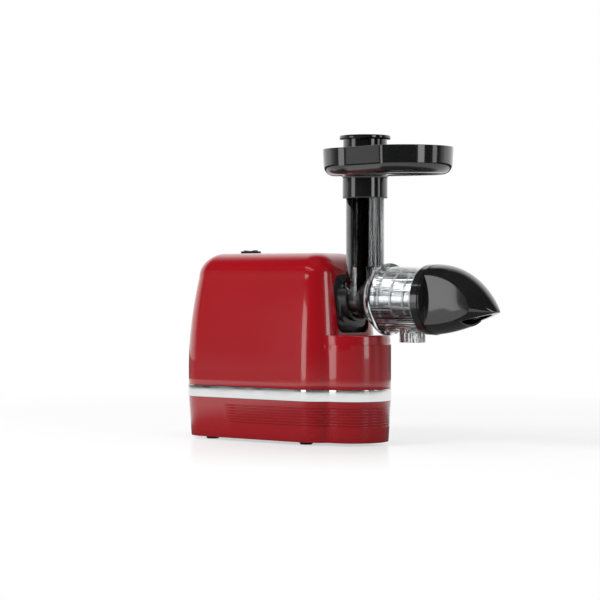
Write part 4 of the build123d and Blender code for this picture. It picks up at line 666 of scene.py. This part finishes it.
def collarCutter(gap):
    # the opening round the drum collar
    low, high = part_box("front_collar")
    y, zLow, zHigh = high[1] + gap, low[2] - gap, high[2] + gap
    lowRound, highRound = collar["lowRound"] + gap, collar["highRound"] + gap
    outline = arcPoints((y - highRound, zHigh - highRound), highRound, 0, 90, 12)
    outline += arcPoints((-y + highRound, zHigh - highRound), highRound, 90, 180, 12)
    outline += arcPoints((-y + lowRound, zLow + lowRound), lowRound, 180, 270, 10)
    outline += arcPoints((y - lowRound, zLow + lowRound), lowRound, 270, 360, 10)
    rings = [[(x, y, z) for y, z in outline] for x in (low[0] - collar["behind"], low[0] + collar["ahead"])]
    return ringMesh("collarCutter", rings, capFirst=True, capLast=True)


def cleanMesh(mesh, distance=0.00003):
    work = bmesh.new()
    work.from_mesh(mesh)
    bmesh.ops.remove_doubles(work, verts=work.verts, dist=distance)
    bmesh.ops.recalc_face_normals(work, faces=work.faces)
    work.to_mesh(mesh)
    work.free()
    return mesh


def switchCutter(lip, reach):
    # the opening that the switch surround's skirt drops into
    low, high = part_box("switch_bezel")
    across, along = (low[1] + lip, high[1] - lip), (low[0] + lip, high[0] - lip)
    outline = [(along[0], across[0]), (along[1], across[0]), (along[1], across[1]), (along[0], across[1])]
    rings = [[(x, y, z) for x, y in outline] for z in (high[2] - reach, high[2] + reach)]
    return cleanMesh(ringMesh("switchCutter", rings, capFirst=True, capLast=True))


def makeUpperShell(s):
    outer = cleanMesh(ringMesh("upperShell", bodyRings(s, outlineCounts), capLast=True))
    walled = walledIn(outer, s["wall"])
    opened = cutAway(walled, collarCutter(collar["gap"]))
    opened = cutAway(opened, switchCutter(s["switchLip"], s["switchReach"]))
    finishPiece("upperShell", opened, "chassis", ["upper_housing"], 30.0)


makeUpperShell(shell)
print("stage: upper shell")

base = {
    "low": 0.0035, "high": 0.0552, "taper": 0.0032, "wall": 0.0028, "edge": 0.0009,
    "grooveCount": 7, "grooveFirst": 0.0240, "groovePitch": 0.0036, "grooveWidth": 0.0015,
    "grooveDepth": 0.0008,
    "grooveLip": 0.00018,
    "fadeFrom": -0.042, "fadeTo": -0.018,  # along X the grooves run out into the plain wall
    "counts": {"rear": 6, "rearCorner": 14, "side": 56, "frontCorner": 12, "blend": 8, "nose": 24},
}


def baseRings(b, s, counts):
    def insetAt(z):
        return b["taper"] * (b["high"] - z) / (b["high"] - b["low"])

    levels = [(b["low"], b["edge"], 0.0), (b["low"] + b["edge"] * 0.3, b["edge"] * 0.3, 0.0),
              (b["low"] + b["edge"], 0.0, 0.0), (b["low"] + 0.008, 0.0, 0.0), (b["low"] + 0.014, 0.0, 0.0)]
    for i in range(b["grooveCount"]):
        z, lip = b["grooveFirst"] + i * b["groovePitch"], b["grooveLip"]
        width, depth = b["grooveWidth"], b["grooveDepth"]
        levels += [(z - lip * 2.4, 0.0, 0.0), (z - lip * 1.2, 0.0, 0.0), (z - lip * 0.2, 0.0, depth * 0.2),
                   (z + lip, 0.0, depth), (z + width - lip, 0.0, depth),
                   (z + width + lip * 0.2, 0.0, depth * 0.2), (z + width + lip * 1.2, 0.0, 0.0),
                   (z + width + lip * 2.4, 0.0, 0.0)]
    levels += [(b["high"] - 0.003, 0.0, 0.0), (b["high"], 0.0, 0.0)]
    rings = []
    for z, edge, depth in levels:
        plain = halfOutline(insetAt(z) + edge, 0, True, s, counts)
        deep = halfOutline(insetAt(z) + edge + depth, 0, True, s, counts)
        half = [between(p, q, eased((p[0] - b["fadeFrom"]) / (b["fadeTo"] - b["fadeFrom"])))
                for p, q in zip(plain, deep)]
        rings.append(outlineRing(z, half))
    return rings


def makeBase(b, s):
    outer = cleanMesh(ringMesh("baseShell", baseRings(b, s, b["counts"])), 0.000005)
    walled = walledIn(outer, b["wall"])
    finishPiece("baseShell", walled, "chassis", ["base_housing"], 55.0, 0.000005)


makeBase(base, shell)

band = {"low": 0.0552, "high": 0.0706, "proud": 0.0005, "thickness": 0.0024, "round": 0.0006,
        "crown": 0.00004}


def makeBand(b, s):
    r, faceLow, faceHigh = b["round"], b["low"] + b["round"], b["high"] - b["round"]
    section = [(b["low"], b["thickness"])]
    for i in range(6):
        turn = math.radians(90 * i / 5)
        section.append((faceLow - r * math.cos(turn), r - b["proud"] + b["crown"] - r * math.sin(turn)))
    for i in range(25):
        share = i / 24 if i in (0, 24) else (i - 0.5) / 23
        drop = b["crown"] * (2 * share - 1) ** 2
        section.append((faceLow + (faceHigh - faceLow) * (0.004 + 0.992 * share), drop - b["proud"]))
    for i in range(6):
        turn = math.radians(90 * i / 5)
        section.append((faceHigh + r * math.sin(turn), r - b["proud"] + b["crown"] - r * math.cos(turn)))
    section.append((b["high"], b["thickness"]))
    rings = [outlineRing(z, halfOutline(inset, 0, True, s, outlineCounts)) for z, inset in section]
    finishPiece("trimBand", ringMesh("trimBand", rings, closeAcross=True), "chassis", ["trim_band"], 60.0,
                0.000005)


makeBand(band, shell)
print("stage: base and band")


def copyOf(*names):
    # merged copies of the nodes' meshes, joined where they touch
    meshes = []
    for name in names:
        mesh = nodes[name].data.copy()
        work = bmesh.new()
        work.from_mesh(mesh)
        bmesh.ops.remove_doubles(work, verts=work.verts, dist=0.000001)
        work.to_mesh(mesh)
        work.free()
        meshes.append(mesh)
    first = meshes[0]
    for other in meshes[1:]:
        tool = bpy.data.objects.new("joinTool", other)
        scene.collection.objects.link(tool)
        first = modified(first, ("BOOLEAN", {"operation": "UNION", "object": tool, "solver": "EXACT"}))
        bpy.data.objects.remove(tool)
    return first


def softened(mesh, width, limit):
    # flat triangles become whole faces, and the sharp edges between them get a small round
    work = bmesh.new()
    work.from_mesh(mesh)
    bmesh.ops.dissolve_limit(work, angle_limit=math.radians(0.6), verts=work.verts, edges=work.edges)
    work.to_mesh(mesh)
    work.free()
    return modified(mesh, ("BEVEL", {"width": width, "segments": 2, "limit_method": "ANGLE",
                                     "angle_limit": math.radians(limit), "use_clamp_overlap": True,
                                     "harden_normals": False, "miter_outer": "MITER_ARC"}))


def dress(name, body, names, width, sharpAngle):
    mesh = copyOf(*names)
    if width:
        mesh = softened(mesh, width, min(sharpAngle, 32.0))
    placePiece(name, mesh, body, names, sharpAngle)


tray = {
    "wideRadius": 0.0630, "wideOffset": 0.0600, "narrowRadius": 0.0500, "narrowOffset": -0.0045,
    "depth": 0.0340, "wall": 0.0024, "flare": 0.0015, "bottomRound": 0.0130, "rimRound": 0.0009,
    "hole": 0.0208, "sleeveRadius": 0.0285, "sleeveBore": 0.0243, "sleeveLength": 0.0282,
    "sleeveRound": 0.0007,
}


def trayOutline(t, inset):
    # the hull of two circles, from its far end round, with the chute's axis at the origin
    points, steps = 56, 14
    wide, narrow = t["wideRadius"] - inset, t["narrowRadius"] - inset
    gap = t["wideOffset"] - t["narrowOffset"]
    tangent = math.degrees(math.acos((wide - narrow) / gap))
    outline = arcPoints((t["wideOffset"], 0), wide, -tangent, tangent, points)
    narrowEnd = arcPoints((t["narrowOffset"], 0), narrow, tangent, 360 - tangent, points)
    outline += [between(outline[-1], narrowEnd[0], i / steps) for i in range(1, steps)]
    outline += narrowEnd
    outline += [between(narrowEnd[-1], outline[0], i / steps) for i in range(1, steps)]
    return outline


def makeTray(t):
    low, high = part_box("hopper_tray")
    floor, rim = low[2], high[2]
    r, rr = t["bottomRound"], t["rimRound"]

    def insetAt(z, shrink):
        return shrink + t["flare"] * (rim - z) / t["depth"]

    outerArc = [(insetAt(floor + r * (1 - math.cos(a)), 0) + r * (1 - math.sin(a)),
                 floor + r * (1 - math.cos(a)))
                for a in (math.radians(6 * i) for i in range(16))]
    wallLine = [(insetAt(z, 0), z) for z in (floor + r + 0.004, floor + r + 0.012, rim - rr * 1.6, rim - rr)]
    rimTurns = [math.radians(18 * i) for i in range(6)]
    rimArc = [(rr * (1 - math.cos(a)), rim - rr + rr * math.sin(a)) for a in rimTurns[1:]]
    rimIn = [(t["wall"] - rr * (1 - math.sin(a)), rim - rr + rr * math.cos(a)) for a in rimTurns]
    inner = r - t["wall"]
    floorIn = floor + t["wall"]
    innerLine = [(insetAt(z, t["wall"]), z) for z in (rim - rr * 1.6, floor + r + 0.012, floor + r + 0.004)]
    innerArc = [(insetAt(floorIn + inner * (1 - math.cos(a)), t["wall"]) + inner * (1 - math.sin(a)),
                 floorIn + inner * (1 - math.cos(a))) for a in (math.radians(90 - 9 * i) for i in range(11))]
    hullSection = outerArc + wallLine + rimArc + rimIn + innerLine + innerArc
    rings, plain = [], trayOutline(t, 0)
    turns = [math.atan2(y, x) for x, y in plain]

    def circleRing(radius, z):
        return [(chuteX + radius * math.cos(a), radius * math.sin(a), z) for a in turns]

    for inset, z in hullSection:
        rings.append([(chuteX + x, y, z) for x, y in trayOutline(t, inset)])
    hole, bore, outside = t["hole"], t["sleeveBore"], t["sleeveRadius"]
    foot, edge = floor - t["sleeveLength"], t["sleeveRound"]
    # down through the hole and the sleeve's bore, round its foot and up its outside into the tray
    holeSection = [(hole + 0.0006, floorIn), (hole, floorIn - 0.0005), (hole, floor),
                   (bore, floor), (bore, foot + edge), (bore + edge * 0.3, foot + edge * 0.3),
                   (bore + edge, foot), (outside - edge, foot),
                   (outside - edge * 0.3, foot + edge * 0.3), (outside, foot + edge),
                   (outside, foot + edge * 2.5), (outside, floor - 0.0030),
                   (outside + 0.0003, floor - 0.0012), (outside + 0.0012, floor - 0.0003),
                   (outside + 0.0024, floor)]
    rings += [circleRing(radius, z) for radius, z in holeSection]
    finishPiece("hopperTray", ringMesh("hopperTray", rings, closeAcross=True), "hopper",
                ["hopper_tray", "hopper_sleeve"], 40.0)


makeTray(tray)

pusher = {
    "stem": 0.0202, "bore": 0.0178, "footRound": 0.0020, "wall": 0.0024, "head": 0.0278, "cup": 0.0254,
    "flange": 0.0324, "flangeHeight": 0.0050, "flangeRound": 0.0016, "edge": 0.0007, "innerRound": 0.0024,
    "pole": 0.0004,  # the lathe's profile stops just short of the axis
}


def makePusher(p):
    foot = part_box("pusher_stem")[0][2]
    headLow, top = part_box("pusher_head")[0][2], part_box("pusher_head")[1][2]
    fr, e, under, inner = p["flangeRound"], p["edge"], top - p["flangeHeight"], p["innerRound"]
    quarter = [math.radians(15 * i) for i in range(7)]
    profile = [(p["pole"], foot), (p["stem"] * 0.5, foot)]
    profile += [(p["stem"] - p["footRound"] * (1 - math.sin(a)), foot + p["footRound"] * (1 - math.cos(a)))
                for a in quarter]
    profile += [(p["stem"], foot + 0.006), (p["stem"], headLow - 0.001), (p["stem"], headLow)]
    profile += [(p["head"] - e * (1 - math.sin(a)), headLow + e * (1 - math.cos(a))) for a in quarter]
    profile += [(p["head"], headLow + 0.002), (p["head"], under - 0.001),
                (p["head"] + 0.0001, under - 0.0002)]
    profile += [(p["head"] + 0.0004, under)]
    profile += [(p["flange"] - fr * (1 - math.sin(a)), under + fr * (1 - math.cos(a))) for a in quarter]
    profile += [(p["flange"] - fr * (1 - math.cos(a)), top - fr + fr * math.sin(a)) for a in quarter]
    profile += [(p["cup"] + e * (1 - math.sin(a)), top - e * (1 - math.cos(a))) for a in quarter]
    profile += [(p["cup"], top - 0.003), (p["cup"], headLow + p["wall"] + 0.003)]
    profile += [(p["cup"] - inner * (1 - math.cos(a)), headLow + p["wall"] + inner * (1 - math.sin(a)))
                for a in quarter]
    profile += [(p["bore"] + e, headLow + p["wall"]), (p["bore"], headLow + p["wall"] - e),
                (p["bore"], foot + p["wall"] + 0.003)]
    profile += [(p["bore"] - inner * (1 - math.cos(a)), foot + p["wall"] + inner * (1 - math.sin(a)))
                for a in quarter]
    profile += [(p["bore"] * 0.5, foot + p["wall"]), (p["pole"], foot + p["wall"])]
    mesh = lathe("foodPusher", profile, (chuteX, 0), 96)
    finishPiece("foodPusher", mesh, "food_pusher", ["pusher_stem", "pusher_head"], 40.0, 0.0000005)


makePusher(pusher)
print("stage: tray and pusher")

dressed = [
    # piece, body, nodes, edge round, sharp angle
    ("clearDrum", "juicing_drum", ["drum", "feed_chute", "juice_spout"], 0.0002, 34.0),
    ("pulpBeak", "pulp_cap", ["end_cap"], 0.0004, 15.0),
    ("drumCollar", "chassis", ["front_collar"], 0.0007, 34.0),
    ("pressAuger", "auger_drive", ["auger"], 0.0, 34.0),
    ("strainerCage", "juicing_drum", ["strainer_frame"], 0.0002, 34.0),
    ("switchSurround", "chassis", ["switch_bezel"], 0.0002, 34.0),
    ("switchRocker", "rocker", ["switch_rocker"], 0.0003, 34.0),
    ("cordGrommet", "chassis", ["cord_inlet"], 0.0005, 34.0),
    ("rubberFeet", "chassis", ["rubber_feet"], 0.0006, 34.0),
]
for pieceName, bodyName, nodeNames, edgeRound, sharpAngle in dressed:
    dress(pieceName, bodyName, nodeNames, edgeRound, sharpAngle)
print("stage: dressed solids")


screen = {"columns": 110, "rows": 34, "holeShare": 0.56, "thickness": 0.0005, "blankEnds": 0.003}


def screenTree():
    # a plate of quads, each pierced by a smaller quad
    tree = bpy.data.node_groups.new("screenHoles", "GeometryNodeTree")
    tree.interface.new_socket("Geometry", in_out="INPUT", socket_type="NodeSocketGeometry")
    tree.interface.new_socket("Hole Share", in_out="INPUT", socket_type="NodeSocketFloat")
    tree.interface.new_socket("Blank Until", in_out="INPUT", socket_type="NodeSocketFloat")
    tree.interface.new_socket("Blank From", in_out="INPUT", socket_type="NodeSocketFloat")
    tree.interface.new_socket("Finish", in_out="INPUT", socket_type="NodeSocketMaterial")
    tree.interface.new_socket("Geometry", in_out="OUTPUT", socket_type="NodeSocketGeometry")
    link, add = tree.links.new, tree.nodes.new
    given, made = add("NodeGroupInput"), add("NodeGroupOutput")
    place, split = add("GeometryNodeInputPosition"), add("ShaderNodeSeparateXYZ")
    link(place.outputs[0], split.inputs[0])
    after, before = add("FunctionNodeCompare"), add("FunctionNodeCompare")
    both = add("FunctionNodeBooleanMath")
    after.operation, before.operation = "GREATER_THAN", "LESS_THAN"
    link(split.outputs["X"], after.inputs["A"])
    link(given.outputs["Blank Until"], after.inputs["B"])
    link(split.outputs["X"], before.inputs["A"])
    link(given.outputs["Blank From"], before.inputs["B"])
    link(after.outputs["Result"], both.inputs[0])
    link(before.outputs["Result"], both.inputs[1])
    pierce = add("GeometryNodeExtrudeMesh")
    pierce.mode = "FACES"
    pierce.inputs["Individual"].default_value = True
    pierce.inputs["Offset Scale"].default_value = 0.0
    link(given.outputs["Geometry"], pierce.inputs["Mesh"])
    link(both.outputs[0], pierce.inputs["Selection"])
    shrink, remove = add("GeometryNodeScaleElements"), add("GeometryNodeDeleteGeometry")
    link(pierce.outputs["Mesh"], shrink.inputs["Geometry"])
    link(pierce.outputs["Top"], shrink.inputs["Selection"])
    link(given.outputs["Hole Share"], shrink.inputs["Scale"])
    remove.domain = "FACE"
    link(shrink.outputs[0], remove.inputs["Geometry"])
    link(pierce.outputs["Top"], remove.inputs["Selection"])
    whole, finish = add("GeometryNodeRealizeInstances"), add("GeometryNodeSetMaterial")
    link(remove.outputs[0], whole.inputs[0])
    link(whole.outputs[0], finish.inputs["Geometry"])
    link(given.outputs["Finish"], finish.inputs["Material"])
    link(finish.outputs[0], made.inputs[0])
    return tree


def makeScreen(f):
    # the screen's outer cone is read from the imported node
    low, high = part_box("strainer_screen")
    points = [vertex.co for vertex in nodes["strainer_screen"].data.vertices]
    ends = []
    for x in (low[0], high[0]):
        near = [math.hypot(p.y, p.z - augerZ) for p in points if abs(p.x - x) < 0.0003]
        ends.append(max(near) - 0.00002)
    rings = []
    for row in range(f["rows"] + 1):
        share = row / f["rows"]
        radius, x = ends[0] + (ends[1] - ends[0]) * share, low[0] + (high[0] - low[0]) * share
        rings.append([(x, radius * math.cos(a), augerZ + radius * math.sin(a))
                      for a in (2 * math.pi * i / f["columns"] for i in range(f["columns"]))])
    holder = bpy.data.objects.new("screenPlate", ringMesh("screenPlate", rings))
    scene.collection.objects.link(holder)
    tree = screenTree()
    modifier = holder.modifiers.new("holes", "NODES")
    modifier.node_group = tree
    given = {"Hole Share": f["holeShare"], "Blank Until": low[0] + f["blankEnds"],
             "Blank From": high[0] - f["blankEnds"], "Finish": finishes["bearing_steel"]}
    for socket in tree.interface.items_tree:
        if socket.in_out == "INPUT" and socket.name in given:
            modifier[socket.identifier] = given[socket.name]
    plate = bpy.data.meshes.new_from_object(holder.evaluated_get(bpy.context.evaluated_depsgraph_get()))
    bpy.data.objects.remove(holder)
    plate = cleanMesh(plate, 0.000002)
    walled = walledIn(plate, f["thickness"])
    finishPiece("strainerScreen", walled, "juicing_drum", ["strainer_screen"], 50.0, 0.000002)


makeScreen(screen)
print("stage: perforated screen")
